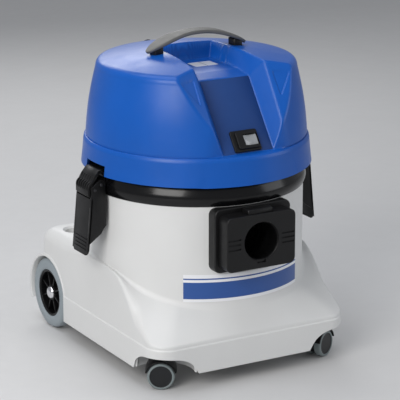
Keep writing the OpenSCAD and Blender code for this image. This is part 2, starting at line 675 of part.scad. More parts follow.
module cable_outlet() color([0.06, 0.06, 0.06]) difference() {
    union() {
        translate([0, 134, crown_z - 30]) along_y() cylinder(r = 9 - still_fit, h = 20, $fn = 48);
        translate([0, 152.4, crown_z - 30]) along_y() cylinder(r1 = 13, r2 = 9, h = 8, $fn = 48);
    }
    translate([0, 120, crown_z - 30]) along_y() cylinder(r = 4, h = 60, $fn = 48);
}

// ---- Motor, float and filter ----
module motor_deck() color([0.1, 0.1, 0.11]) difference() {
    union() {
        translate([0, 0, deck_bottom]) cylinder(r = deck_r, h = deck_t, $fn = 180);
        translate([0, 0, deck_bottom - 14]) ring(filter_r - 22, filter_r - 26, 15);
        translate([0, 0, deck_top]) ring(fan_r + 7, fan_r + 3, 12);
    }
    translate([0, 0, deck_bottom - 1]) cylinder(r = eye_r, h = deck_t + 2);
    for (a = [45:90:315]) rotate([0, 0, a]) translate([138, 0, deck_bottom - 1])
        cylinder(r = 2 + still_fit, h = 10, $fn = 32);
}
module fan_housing() color([0.75, 0.76, 0.78]) translate([0, 0, motor_z]) difference() {
    cylinder(r = fan_r, h = fan_h);
    translate([0, 0, 2]) cylinder(r = fan_r - 2, h = fan_h - 4);
    translate([0, 0, -1]) cylinder(r = eye_r - 4, h = 4);
    translate([0, 0, fan_h - 3]) cylinder(r = 13 + still_fit, h = 4);
    for (k = [0:5]) rotate([0, 0, 60 * k]) translate([fan_r - 8, -6, fan_h - 14]) cube([16, 12, 8]);
}
module impeller() color("gainsboro") translate([0, 0, motor_z + 8]) difference() {
    union() {
        cylinder(r = fan_r - 8, h = 1.6);
        translate([0, 0, 15]) ring(fan_r - 8, eye_r - 8, 1.6);
        cylinder(r = 9, h = 16.6);
        for (k = [0:6]) rotate([0, 0, k * 360 / 7]) translate([24, 0, 1]) rotate([0, 0, 35])
            translate([0, -0.8, 0]) cube([30, 1.6, 15]);
    }
    translate([0, 0, -1]) cylinder(r = shaft_r + still_fit, h = 20);
}
module motor_frame() color([0.6, 0.6, 0.62]) translate([0, 0, frame_z]) difference() {
    union() {
        ring(frame_r, 34, 3);
        translate([0, 0, 10]) ring(frame_r, 30, 30);
        for (k = [0:3]) rotate([0, 0, 90 * k]) translate([frame_r - 8, -7, 0]) cube([6, 14, frame_h]);
        translate([0, 0, frame_h - 5]) cylinder(r = frame_r - 2, h = 5);
        cylinder(r = 36, h = 3);
    }
    translate([0, 0, -1]) cylinder(r = 13 + still_fit, h = 6);
    translate([0, 0, frame_h - 6]) cylinder(r = 11 + still_fit, h = 8);
    for (k = [0:3]) rotate([0, 0, 45 + 90 * k]) translate([26, 0, frame_h - 6]) cylinder(r = 8, h = 8);
}
module motor_bearings() color("silver") {
    translate([0, 0, frame_z - 3]) ring(13, shaft_r + running_fit, 6);
    translate([0, 0, frame_z + frame_h - 5]) ring(11, shaft_r + running_fit, 5);
}
module armature() color([0.72, 0.45, 0.2]) {
    translate([0, 0, motor_z + 6]) cylinder(r = shaft_r, h = fan_h + frame_h + 12);
    translate([0, 0, frame_z + 10]) cylinder(r = 28, h = 28);
    translate([0, 0, frame_z + 5]) cylinder(r = 20, h = 6);
    translate([0, 0, frame_z + 38]) cylinder(r = 12, h = 7);
}
module cooling_fan() color([0.12, 0.12, 0.12]) translate([0, 0, frame_z + frame_h + 3]) difference() {
    union() {
        cylinder(r = 38, h = 1.5);
        cylinder(r = 8, h = 7);
        for (k = [0:9]) rotate([0, 0, 36 * k]) translate([9, -0.7, 1]) cube([28, 1.4, 6]);
    }
    translate([0, 0, -1]) cylinder(r = shaft_r + still_fit, h = 10);
}
module float_cage() color([0.15, 0.15, 0.15]) translate([0, 0, deck_bottom - 64]) difference() {
    union() {
        cylinder(r = float_r + 5, h = 64);
        translate([0, 0, 61]) cylinder(r = eye_r + 12, h = 3);
    }
    translate([0, 0, 3]) cylinder(r = float_r + 2, h = 54);
    translate([0, 0, 50]) cylinder(r = float_r - 5, h = 20);
    for (k = [0:5]) rotate([0, 0, 60 * k]) translate([float_r - 4, -5, 10]) cube([16, 10, 36]);
}
float_rest = deck_bottom - 64 + 3 + float_r + 0.3;
module float_ball() color("orange") translate([0, 0, float_rest]) sphere(r = float_r, $fn = 96);
module filter_pleats() color([0.93, 0.93, 0.9]) translate([0, 0, deck_bottom - 94]) linear_extrude(90) difference() {
    polygon([for (k = [0:2 * pleat_count - 1]) (k % 2 == 0 ? filter_r : filter_r - 14)
        * [cos(k * 180 / pleat_count), sin(k * 180 / pleat_count)]]);
    polygon([for (k = [0:2 * pleat_count - 1]) (k % 2 == 0 ? filter_r - 2.5 : filter_r - 16.5)
        * [cos(k * 180 / pleat_count), sin(k * 180 / pleat_count)]]);
}
module filter_caps() color([0.12, 0.12, 0.12]) {
    translate([0, 0, deck_bottom - 4]) ring(filter_r + 1, filter_r - 21.9, 4);
    translate([0, 0, deck_bottom - 98]) cylinder(r = filter_r + 1, h = 4);
}

part_frame() tank_shell();
part_frame() base_front();
part_frame() base_rear();
part_frame() tool_cups();
part_frame() deck_seals();
part_frame() fixing_screws();
part_frame() tank_ring();
part_frame() tank_sticker();
part_frame() inlet_flange();
part_frame() inlet_box();
part_frame() inlet_deflector();
part_frame() release_button();
part_frame() button_spring();
part_frame() rear_axle();
part_frame() axle_caps();
part_frame() right_side() wheel_hub_right();  // wheel_hub_left
part_frame() wheel_hub_right();
part_frame() right_side() tyre_right();  // tyre_left
part_frame() tyre_right();
part_frame() caster_sockets();
part_frame() caster_pins(-1);  // caster_pins_left
part_frame() caster_pins(1);  // caster_pins_right
part_frame() caster_hood(-1);  // caster_hood_left
part_frame() caster_hood(1);  // caster_hood_right
part_frame() caster_wheel(-1, 1);  // caster_wheel_left_outer
part_frame() caster_wheel(-1, 0);  // caster_wheel_left_inner
part_frame() caster_wheel(1, 1);  // caster_wheel_right_outer
part_frame() caster_wheel(1, 0);  // caster_wheel_right_inner
part_frame() caster_tread(-1, 1);  // caster_tread_left_outer
part_frame() caster_tread(-1, 0);  // caster_tread_left_inner
part_frame() caster_tread(1, 1);  // caster_tread_right_outer
part_frame() caster_tread(1, 0);  // caster_tread_right_inner
part_frame() latch_brackets();
part_frame() lever_pins();
part_frame() latch_lever();  // latch_lever_left
part_frame() right_side() latch_lever();  // latch_lever_right
part_frame() hook_pin();  // hook_pin_left
part_frame() right_side() hook_pin();  // hook_pin_right
part_frame() latch_hook();  // latch_hook_left
part_frame() right_side() latch_hook();  // latch_hook_right
part_frame() head_cover();
part_frame() control_panel();
part_frame() switch_body();
part_frame() switch_bezel();
part_frame() switch_rocker();
part_frame() rating_label();
part_frame() handle_strap();
part_frame() handle_feet();
part_frame() cable_outlet();
part_frame() motor_deck();
part_frame() fan_housing();
part_frame() impeller();
part_frame() motor_frame();
part_frame() motor_bearings();
part_frame() armature();
part_frame() cooling_fan();
part_frame() float_cage();
part_frame() float_ball();
part_frame() filter_pleats();
part_frame() filter_caps();
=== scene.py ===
"""Shows the shop vacuum: mouldings, trim, latches, wheels, casters, finishes and a studio around its frame."""

import json
import math

import bmesh
import bpy
import numpy as np
from bpy.props import FloatProperty, FloatVectorProperty, IntProperty, PointerProperty
from mathutils import Matrix, Vector


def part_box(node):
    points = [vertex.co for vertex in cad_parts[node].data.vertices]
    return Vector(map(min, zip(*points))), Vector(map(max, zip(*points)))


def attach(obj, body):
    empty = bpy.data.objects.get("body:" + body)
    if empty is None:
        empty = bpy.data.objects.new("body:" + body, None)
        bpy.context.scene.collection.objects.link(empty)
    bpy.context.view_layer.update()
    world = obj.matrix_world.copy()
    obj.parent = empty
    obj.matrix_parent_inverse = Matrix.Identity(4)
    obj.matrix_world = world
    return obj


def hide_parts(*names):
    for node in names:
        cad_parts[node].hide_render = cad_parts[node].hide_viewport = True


bl_info = {
    "name": "Shop Vacuum",
    "version": (1, 0, 0),
    "blender": (4, 5, 0),
    "location": "View3D > Sidebar > Vacuum",
    "description": "Builds a shop vacuum's mouldings, trim, wheels and finishes around its frame",
    "category": "Add Mesh",
}

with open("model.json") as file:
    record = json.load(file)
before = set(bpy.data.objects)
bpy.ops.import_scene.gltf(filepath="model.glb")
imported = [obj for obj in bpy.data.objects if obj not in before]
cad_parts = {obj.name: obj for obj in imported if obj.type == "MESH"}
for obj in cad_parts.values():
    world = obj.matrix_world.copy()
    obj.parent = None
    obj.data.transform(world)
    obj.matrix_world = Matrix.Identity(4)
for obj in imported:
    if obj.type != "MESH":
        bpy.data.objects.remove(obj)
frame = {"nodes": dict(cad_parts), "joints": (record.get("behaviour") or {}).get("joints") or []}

# ---------------------------------------------------------------- places
# Shapes are drawn in millimetres about the tank's axis and moved into the frame at the end.
MM = 0.001


def frame_box(*nodes):
    """Lowest and highest corner of frame nodes, in millimetres about the tank's axis."""
    low = np.min([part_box(n)[0] for n in nodes], axis=0) / MM
    high = np.max([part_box(n)[1] for n in nodes], axis=0) / MM
    return low - AXIS, high - AXIS


# The ring is centred on the tank's axis
AXIS = np.array([0.0, sum(corner[1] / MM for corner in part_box("tank_ring")) / 2, 0.0])
RING_LOW, RING_HIGH = frame_box("tank_ring")
BODY_LOW, BODY_HIGH = frame_box("tank_shell", "base_front", "base_rear")
COVER_LOW, COVER_HIGH = frame_box("head_cover")
TYRE_LOW, TYRE_HIGH = frame_box("tyre_right")
BOX_LOW, BOX_HIGH = frame_box("inlet_box")
FLANGE_LOW, FLANGE_HIGH = frame_box("inlet_flange")
STRAP_LOW, STRAP_HIGH = frame_box("handle_strap")
LEVER_LOW, LEVER_HIGH = frame_box("latch_lever_right")
PIN_LOW, PIN_HIGH = frame_box("lever_pins")
HOOK_PIN_LOW, HOOK_PIN_HIGH = frame_box("hook_pin_right")

TANK_R = RING_HIGH[0] - 4
TANK_TOP = RING_LOW[2] + 4
RIM_Z = COVER_LOW[2]
CROWN_Z = COVER_HIGH[2]
BASE_W = BODY_HIGH[0] - 1.5
BASE_FRONT = -BODY_LOW[1] - 1.5
SKIRT_Z = 25.0
WHEEL_R = (TYRE_HIGH[2] - TYRE_LOW[2]) / 2
WHEEL_Y = (TYRE_HIGH[1] + TYRE_LOW[1]) / 2
WHEEL_OUT = TYRE_HIGH[0]
WHEEL_W = TYRE_HIGH[0] - TYRE_LOW[0]
FENDER_R = BODY_HIGH[1] - WHEEL_Y
BASE_BACK = WHEEL_Y + 23
INLET_Z = (BOX_LOW[2] + BOX_HIGH[2]) / 2


# ---------------------------------------------------------------- sizes and colours
def length(name, description, default):
    """A length property in metres."""
    return FloatProperty(name=name, description=description, default=default * MM, min=0, unit="LENGTH")


def colour(name, default):
    """A colour property."""
    return FloatVectorProperty(name=name, description=f"Colour of the {name.lower()}",
                               subtype="COLOR", size=3, min=0, max=1, default=default)


class VacuumSizes(bpy.types.PropertyGroup):
    """Sizes that shape the vacuum's mouldings."""

    step: length("Skin step", "Distance between points on the large mouldings", 1.9)
    edge: length("Edge rounding", "Rounding of the head's creases", 2.2)
    bevel: length("Small edge", "Rounding of the small mouldings' edges", 0.7)
    deck_round: length("Deck rounding", "Rounding along the rear deck's edge", 17)
    spokes: IntProperty(name="Spokes", description="Spokes in a rear wheel's hub", default=8, min=3)
    ribs: IntProperty(name="Latch ribs", description="Grip ribs across a latch hook", default=6, min=2)


class VacuumColours(bpy.types.PropertyGroup):
    """Colours of the vacuum's finishes."""

    tub: colour("Tub", (0.67, 0.675, 0.67))
    cover: colour("Motor cover", (0.003, 0.088, 0.42))
    panel: colour("Control panel", (0.012, 0.048, 0.185))
    black: colour("Black fittings", (0.006, 0.006, 0.0065))
    ring: colour("Tank ring", (0.003, 0.003, 0.0035))
    strap: colour("Handle strap", (0.11, 0.11, 0.105))
    tyre: colour("Rear tyres", (0.27, 0.31, 0.335))
    tread: colour("Caster treads", (0.20, 0.235, 0.24))
    cover_print: colour("Sticker print", (0.02, 0.08, 0.30))


# ---------------------------------------------------------------- finishes
def node_tree(name):
    """A fresh material with its principled shader, and a function that adds linked nodes."""
    material = bpy.data.materials.new(name)
    material.use_nodes = True
    tree = material.node_tree
    shader = tree.nodes["Principled BSDF"]

    def add(kind, inputs=None, **settings):
        node = tree.nodes.new(kind)
        for key, value in settings.items():
            setattr(node, key, value)
        for key, value in (inputs or {}).items():
            if isinstance(value, bpy.types.NodeSocket):
                tree.links.new(value, node.inputs[key])
            else:
                node.inputs[key].default_value = value
        return node

    return material, tree, shader, add


def shade_range(add, factor, base, spread):
    """A colour ramp around a base colour, from darker to lighter by the spread."""
    ramp = add("ShaderNodeValToRGB", {"Fac": factor})
    for element, k in zip(ramp.color_ramp.elements, (1 - spread, 1 + spread)):
        element.color = (*[min(c * k, 1) for c in base], 1)
    ramp.color_ramp.elements[0].position = 0.3
    ramp.color_ramp.elements[1].position = 0.7
    return ramp.outputs["Color"]


def moulded_plastic(name, base, roughness=0.35, grain=1100, depth=0.00004, spread=0.04, gloss=0.5, coat=0.0):
    """Moulded plastic: fine spark-eroded grain, cloudy gloss and faint colour flow."""
    material, tree, shader, add = node_tree(name)
    place = add("ShaderNodeTexCoord").outputs["Object"]
    cloud = add("ShaderNodeTexNoise", {"Vector": place, "Scale": 14, "Detail": 3})
    tree.links.new(shade_range(add, cloud.outputs["Fac"], base, spread), shader.inputs["Base Color"])
    smear = add("ShaderNodeTexNoise", {"Vector": place, "Scale": 45, "Detail": 5, "Roughness": 0.6})
    gloss_range = add("ShaderNodeMapRange", {"Value": smear.outputs["Fac"], "From Min": 0.3, "From Max": 0.7,
                                             "To Min": roughness * 0.88, "To Max": roughness * 1.14})
    tree.links.new(gloss_range.outputs["Result"], shader.inputs["Roughness"])
    pits = add("ShaderNodeTexNoise", {"Vector": place, "Scale": grain, "Detail": 2})
    bump = add("ShaderNodeBump", {"Height": pits.outputs["Fac"], "Strength": 0.5, "Distance": depth})
    tree.links.new(bump.outputs["Normal"], shader.inputs["Normal"])
    shader.inputs["Specular IOR Level"].default_value = gloss
    shader.inputs["Coat Weight"].default_value = coat
    shader.inputs["Coat Roughness"].default_value = 0.12
    return material


def brushed_metal(name, base, roughness=0.3, stretch=(40, 40, 900)):
    """Turned or drawn metal with fine lines along one direction."""
    material, tree, shader, add = node_tree(name)
    place = add("ShaderNodeTexCoord").outputs["Object"]
    turned = add("ShaderNodeMapping", {"Vector": place, "Scale": stretch}).outputs["Vector"]
    lines = add("ShaderNodeTexNoise", {"Vector": turned, "Scale": 1, "Detail": 4})
    tree.links.new(shade_range(add, lines.outputs["Fac"], base, 0.08), shader.inputs["Base Color"])
    gloss_range = add("ShaderNodeMapRange", {"Value": lines.outputs["Fac"],
                                             "To Min": roughness * 0.7, "To Max": roughness * 1.3})
    tree.links.new(gloss_range.outputs["Result"], shader.inputs["Roughness"])
    bump = add("ShaderNodeBump", {"Height": lines.outputs["Fac"], "Strength": 0.3, "Distance": 0.00003})
    tree.links.new(bump.outputs["Normal"], shader.inputs["Normal"])
    shader.inputs["Metallic"].default_value = 1
    return material


def printed_label(name, base, ink, axis, bands):
    """Plain film with plain printed bars between the given places along an axis, in metres."""
    material, tree, shader, add = node_tree(name)
    place = add("ShaderNodeTexCoord").outputs["Object"]
    along = add("ShaderNodeSeparateXYZ", {"Vector": place}).outputs[axis]
    mask = None
    for low, high in bands:
        above = add("ShaderNodeMath", {0: along, 1: low}, operation="GREATER_THAN").outputs[0]
        below = add("ShaderNodeMath", {0: along, 1: high}, operation="LESS_THAN").outputs[0]
        bar = add("ShaderNodeMath", {0: above, 1: below}, operation="MULTIPLY").outputs[0]
        mask = bar if mask is None else add("ShaderNodeMath", {0: mask, 1: bar}, operation="MAXIMUM").outputs[0]
    ramp = add("ShaderNodeValToRGB", {"Fac": mask})
    ramp.color_ramp.interpolation = "CONSTANT"
    ramp.color_ramp.elements[0].color = (*base, 1)
    ramp.color_ramp.elements[1].color = (*ink, 1)
    ramp.color_ramp.elements[1].position = 0.5
    tree.links.new(ramp.outputs["Color"], shader.inputs["Base Color"])
    fibre = add("ShaderNodeTexNoise", {"Vector": place, "Scale": 700, "Detail": 3})
    bump = add("ShaderNodeBump", {"Height": fibre.outputs["Fac"], "Strength": 0.2, "Distance": 0.00002})
    tree.links.new(bump.outputs["Normal"], shader.inputs["Normal"])
    shader.inputs["Roughness"].default_value = 0.28
    return material


_made = {}


def finish(key):
    """The material of that name, made on first use from the scene's colours."""
    if key in _made:
        return _made[key]
    tones = bpy.context.scene.vacuum_colours
    makers = {
        "tub": lambda: moulded_plastic("White moulding", tones.tub, 0.42, 1400, 0.00004, 0.015),
        "cover": lambda: moulded_plastic("Blue moulding", tones.cover, 0.33, 1400, 0.00003, 0.04, 0.35, 0.0),
        "panel": lambda: moulded_plastic("Matt panel", tones.panel, 0.55, 2200, 0.0001, 0.06, 0.25),
        "black": lambda: moulded_plastic("Black moulding", tones.black, 0.4, 1500, 0.00004, 0.1, 0.3),
        "ring": lambda: moulded_plastic("Black trim", tones.ring, 0.2, 900, 0.000006, 0.06, 0.3, 0.1),
        "strap": lambda: moulded_plastic("Grained strap", tones.strap, 0.5, 900, 0.00012, 0.12),
        "hub": lambda: moulded_plastic("Hub moulding", (0.004, 0.004, 0.0045), 0.35, 1300, 0.00003, 0.1, 0.25),
        "tyre": lambda: moulded_plastic("Grey tyre rubber", tones.tyre, 0.55, 700, 0.00008, 0.05, 0.4),
        "tread": lambda: moulded_plastic("Caster tread", tones.tread, 0.5, 900, 0.00006, 0.06, 0.4),
        "disc": lambda: moulded_plastic("Caster disc", (0.014, 0.015, 0.017), 0.36, 1300, 0.00003, 0.08, 0.3),
        "smoke": lambda: moulded_plastic("Smoked cover", (0.30, 0.315, 0.33), 0.16, 600, 0.00002, 0.12, 0.6, 0.4),
        "chrome": lambda: brushed_metal("Bright cap", (0.80, 0.80, 0.82), 0.12, (90, 90, 90)),
        "steel": lambda: brushed_metal("Zinc plated steel", (0.56, 0.57, 0.58), 0.3),
        "dark steel": lambda: brushed_metal("Blackened steel", (0.06, 0.06, 0.065), 0.4),
        "alu": lambda: brushed_metal("Pressed aluminium", (0.68, 0.69, 0.70), 0.34, (200, 200, 200)),
        "iron": lambda: brushed_metal("Motor laminations", (0.30, 0.31, 0.33), 0.45, (30, 30, 1600)),
        "copper": lambda: brushed_metal("Wound rotor", (0.60, 0.30, 0.13), 0.35, (60, 60, 700)),
        "seal": lambda: moulded_plastic("Soft seal", (0.02, 0.02, 0.02), 0.7, 800, 0.0001, 0.1, 0.3),
        "float": lambda: moulded_plastic("Float shell", (0.75, 0.22, 0.02), 0.3, 900, 0.00004, 0.05),
        "paper": lambda: moulded_plastic("Filter paper", (0.80, 0.79, 0.72), 0.85, 1600, 0.0002, 0.05, 0.2),
        "sticker": lambda: printed_label("Tub sticker", (0.80, 0.81, 0.84), tones.cover_print, "Z",
                                         ((0.1245, 0.1495), (0.1535, 0.1555))),
        "label": lambda: printed_label("Small label", (0.78, 0.79, 0.80), (0.25, 0.26, 0.28), "X",
                                       ((0.0135, 0.0150),)),
    }
    _made[key] = makers[key]()
    return _made[key]


# ---------------------------------------------------------------- shape helpers
def unit(v):
    """Vectors of length 1."""
    v = np.asarray(v, float)
    return v / np.linalg.norm(v, axis=-1, keepdims=True)


def ease(x, low, high):
    """0 below low, 1 above high and smooth in between."""
    t = np.clip((np.asarray(x, float) - low) / (high - low), 0, 1)
    return t * t * (3 - 2 * t)


def rounded_path(corners, radii, steps=5, closed=False):
    """A polyline through corners, each turned with a curve of about the given radius."""
    corners = [np.asarray(c, float) for c in corners]
    out = []
    count = len(corners)
    for i, corner in enumerate(corners):
        if not closed and i in (0, count - 1) or radii[i] <= 0:
            out.append(corner)
            continue
        back, ahead = corners[i - 1] - corner, corners[(i + 1) % count] - corner
        reach = min(radii[i], np.linalg.norm(back) * 0.49, np.linalg.norm(ahead) * 0.49)
        start, end = corner + unit(back) * reach, corner + unit(ahead) * reach
        for t in np.linspace(0, 1, steps):
            middle = corner * 0.82 + (start + end) * 0.09
            out.append((1 - t) ** 2 * start + 2 * t * (1 - t) * middle + t * t * end)
    return np.array(out)


def circle(radius, count=48, start=0.0, turn=360.0, centre=(0, 0)):
    """Points on a circle or an arc; a full circle doesn't repeat its first point."""
    closed = abs(turn) >= 360
    angles = np.radians(start + np.linspace(0, turn, count, endpoint=not closed))
    return np.stack([centre[0] + radius * np.cos(angles), centre[1] + radius * np.sin(angles)], 1)


def grid(points, close_u=False, close_v=True):
    """Faces of a grid of points with shape (u, v, 3)."""
    nu, nv = points.shape[:2]
    faces = []
    for i in range(nu if close_u else nu - 1):
        for j in range(nv if close_v else nv - 1):
            a, b = i * nv + j, i * nv + (j + 1) % nv
            c, d = ((i + 1) % nu) * nv + (j + 1) % nv, ((i + 1) % nu) * nv + j
            faces.append((a, b, c, d))
    return points.reshape(-1, 3), faces


def loft(rows):
    """Closed sections of equal length, skinned and capped."""
    points, faces = grid(np.array(rows))
    count = len(rows[0])
    return points, faces + [tuple(range(count))[::-1], tuple(range(len(points) - count, len(points)))]


def lathe(profile, count=96, closed=True):
    """A profile of (radius, height) turned about Z."""
    angles = np.linspace(0, 2 * math.pi, count, endpoint=False)
    profile = np.asarray(profile, float)
    points = np.stack([np.outer(np.cos(angles), profile[:, 0]), np.outer(np.sin(angles), profile[:, 0]),
                       np.tile(profile[:, 1], (count, 1))], 2)
    return grid(points, close_u=True, close_v=closed)


def prism(outline, low, high):
    """An outline in X and Y, raised from low to high."""
    outline = np.asarray(outline, float)
    count = len(outline)
    points = np.concatenate([np.c_[outline, np.full(count, low)], np.c_[outline, np.full(count, high)]])
    faces = [tuple(range(count))[::-1], tuple(range(count, 2 * count))]
    faces += [(i, (i + 1) % count, count + (i + 1) % count, count + i) for i in range(count)]
    return points, faces


def block(low, high):
    """A box between two corners."""
    return prism([(low[0], low[1]), (high[0], low[1]), (high[0], high[1]), (low[0], high[1])], low[2], high[2])


def placed(shape, matrix):
    """A shape moved by a 4x4 matrix."""
    points = np.c_[shape[0], np.ones(len(shape[0]))] @ np.array(matrix, float).T
    return points[:, :3], shape[1]


def mirrored(shape, axis=0):
    """A shape mirrored across the plane through the tank's axis."""
    points = np.array(shape[0], float)
    points[:, axis] *= -1
    return points, [face[::-1] for face in shape[1]]


def moved(x=0, y=0, z=0):
    """A move."""
    return Matrix.Translation((x, y, z))


ALONG_X = Matrix.Rotation(math.radians(90), 4, "Y")
ALONG_Y = Matrix.Rotation(math.radians(-90), 4, "X")
# An outline in X and Z, thick along Y
UPRIGHT = Matrix(((1, 0, 0, 0), (0, 0, -1, 0), (0, 1, 0, 0), (0, 0, 0, 1)))


def raw_object(name, shapes, material=None, clean=True):
    """One object from shapes given in millimetres about the tank's axis."""
    points, faces, first = [], [], 0
    for shape_points, shape_faces in shapes:
        points.append(np.asarray(shape_points, float))
        faces += [tuple(first + i for i in face) for face in shape_faces]
        first += len(shape_points)
    place = (np.concatenate(points) + AXIS) * MM
    mesh = bpy.data.meshes.new(name)
    mesh.from_pydata(place.tolist(), [], faces)
    if clean:
        work = bmesh.new()
        work.from_mesh(mesh)
        bmesh.ops.remove_doubles(work, verts=work.verts, dist=1e-6)
        bmesh.ops.dissolve_degenerate(work, edges=work.edges, dist=1e-7)
        bmesh.ops.recalc_face_normals(work, faces=work.faces)
        work.to_mesh(mesh)
        work.free()
    if material is not None:
        mesh.materials.append(material)
    obj = bpy.data.objects.new(name, mesh)
    bpy.context.scene.collection.objects.link(obj)
    return obj


def apply_modifiers(obj):
    """Turns an object's modifiers into plain mesh."""
    if obj.modifiers:
        graph = bpy.context.evaluated_depsgraph_get()
        mesh = bpy.data.meshes.new_from_object(obj.evaluated_get(graph))
        old, obj.data = obj.data, mesh
        obj.modifiers.clear()
        name = old.name
        bpy.data.meshes.remove(old)
        mesh.name = name


def settle(obj, sharp=38):
    """Applies an object's modifiers and shades it smooth between edges sharper than an angle."""
    apply_modifiers(obj)
    obj.data.shade_smooth()
    if sharp:
        obj.data.set_sharp_from_angle(angle=math.radians(sharp))
    return obj


def round_edges(obj, width, segments=3, angle=30):
    """Rounds an object's edges."""
    bevel = obj.modifiers.new("Edges", "BEVEL")
    bevel.width = width
    bevel.segments = segments
    bevel.limit_method = "ANGLE"
    bevel.angle_limit = math.radians(angle)
    bevel.harden_normals = True
    bevel.miter_outer = "MITER_ARC"
    return settle(obj, 0)


def carve(obj, cutter, operation="DIFFERENCE"):
    """Cuts an object with another, which is then removed."""
    cut = obj.modifiers.new("Cut", "BOOLEAN")
    cut.operation = operation
    cut.solver = "EXACT"
    cut.use_self = True
    cut.object = cutter
    settle(obj)
    bpy.data.objects.remove(cutter)
    # Large faces keep flat shading beside the cut
    weigh = obj.modifiers.new("Flat faces", "WEIGHTED_NORMAL")
    weigh.keep_sharp = True
    apply_modifiers(obj)
    return obj


def joined(name, objects):
    """Several objects as one."""
    with bpy.context.temp_override(active_object=objects[0], selected_editable_objects=objects):
        bpy.ops.object.join()
    objects[0].name = name
    return objects[0]


def ready(obj, body, slot, *nodes):
    """Puts a finished piece on its body, in place of the frame nodes that it stands for."""
    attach(obj, body)
    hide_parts(*nodes)
    return obj


def piece(name, shapes, key, body, slot, *nodes, edge=0.0, segments=3, angle=30, sharp=38):
    """A finished piece from shapes: its edges rounded if asked, on its body, for its frame nodes."""
    obj = raw_object(name, shapes, finish(key))
    if edge:
        round_edges(obj, edge * MM, segments, angle)
    else:
        settle(obj, sharp)
    return ready(obj, body, slot, *nodes)


# ---------------------------------------------------------------- repeating trees
def repeat_tree(name, around):
    """A tree that repeats its mesh around Z, or in a straight line."""
    tree = bpy.data.node_groups.new(name, "GeometryNodeTree")
    tree.is_modifier = True
    sockets = {}
    kinds = {"Geometry": "Geometry", "Count": "Int", "Spacing": "Float" if around else "Vector", "Finish": "Material"}
    for label, kind in kinds.items():
        socket = tree.interface.new_socket(label, in_out="INPUT", socket_type=f"NodeSocket{kind}")
        sockets[label] = socket.identifier
    tree.interface.new_socket("Geometry", in_out="OUTPUT", socket_type="NodeSocketGeometry")
    nodes, link = tree.nodes, tree.links.new
    given, result = nodes.new("NodeGroupInput"), nodes.new("NodeGroupOutput")
    line = nodes.new("GeometryNodeMeshLine")
    link(given.outputs["Count"], line.inputs["Count"])
    place = nodes.new("GeometryNodeInstanceOnPoints")
    link(line.outputs["Mesh"], place.inputs["Points"])
    link(given.outputs["Geometry"], place.inputs["Instance"])
    if around:
        line.inputs["Offset"].default_value = (0, 0, 0)
        index, angle = nodes.new("GeometryNodeInputIndex"), nodes.new("ShaderNodeMath")
        angle.operation = "MULTIPLY"
        link(index.outputs[0], angle.inputs[0])
        link(given.outputs["Spacing"], angle.inputs[1])
        turn = nodes.new("ShaderNodeCombineXYZ")
        link(angle.outputs[0], turn.inputs["Z"])
        link(turn.outputs[0], place.inputs["Rotation"])
    else:
        link(given.outputs["Spacing"], line.inputs["Offset"])
    realize, paint = nodes.new("GeometryNodeRealizeInstances"), nodes.new("GeometryNodeSetMaterial")
    link(place.outputs[0], realize.inputs[0])
    link(realize.outputs[0], paint.inputs["Geometry"])
    link(given.outputs["Finish"], paint.inputs["Material"])
    link(paint.outputs[0], result.inputs[0])
    return tree, sockets


_trees = {}


def repeated(shape, count, spacing, material, matrix=None, bevel=0.0, name="Repeated"):
    """A shape in millimetres about its own zero, repeated around Z or along a step, then moved by a matrix."""
    around = not hasattr(spacing, "__len__")
    key = "Repeat around" if around else "Repeat along"
    if key not in _trees:
        _trees[key] = repeat_tree(key, around)
    tree, sockets = _trees[key]
    mesh = bpy.data.meshes.new(name)
    mesh.from_pydata((np.asarray(shape[0], float) * MM).tolist(), [], shape[1])
    obj = bpy.data.objects.new(name, mesh)
    bpy.context.scene.collection.objects.link(obj)
    if bevel:
        edges = obj.modifiers.new("Edges", "BEVEL")
        edges.width = bevel
        edges.segments = 2
    spread = obj.modifiers.new("Spread", "NODES")
    spread.node_group = tree
    spread[sockets["Count"]] = count
    spread[sockets["Spacing"]] = spacing if around else [s * MM for s in spacing]
    spread[sockets["Finish"]] = material
    settle(obj)
    obj.data.transform(moved(*(AXIS * MM)) @ scaled_move(matrix or Matrix.Identity(4)))
    if matrix is not None and matrix.determinant() < 0:
        obj.data.flip_normals()
    return obj


def scaled_move(matrix):
    """A matrix whose move is in millimetres, with its move in metres."""
    out = matrix.copy()
    out.translation = out.translation * MM
    return out


# ---------------------------------------------------------------- tub and base
def base_outline():
    """The base's plan from the front middle round its right side to the back middle, with the arch breaks."""
    front_r, rear_r, step = 33.0, 18.0, 5.0
    path = [(0, -BASE_FRONT)]
    corner = (BASE_W - front_r, -BASE_FRONT + front_r)
    path += list(circle(front_r, 15, -90, 90, corner))
    breaks = [WHEEL_Y - FENDER_R + 3.4, WHEEL_Y - FENDER_R + 3.6]
    path += [(BASE_W, y) for y in breaks]
    path += list(circle(rear_r, 10, 0, 90, (BASE_W - rear_r, BASE_BACK - rear_r)))
    path += [(WHEEL_OUT - WHEEL_W - 7.0, BASE_BACK), (WHEEL_OUT - WHEEL_W - 7.2, BASE_BACK), (0, BASE_BACK)]
    out = []
    for a, b in zip(path, path[1:]):
        a, b = np.array(a, float), np.array(b, float)
        parts = max(1, int(np.linalg.norm(b - a) // step))
        out += [a + (b - a) * k / parts for k in range(parts)]
    out.append(np.array(path[-1], float))
    return np.array(out)


ARCH_X, ARCH_Y, ARCH_R = 140.0, -148.0, 49.5


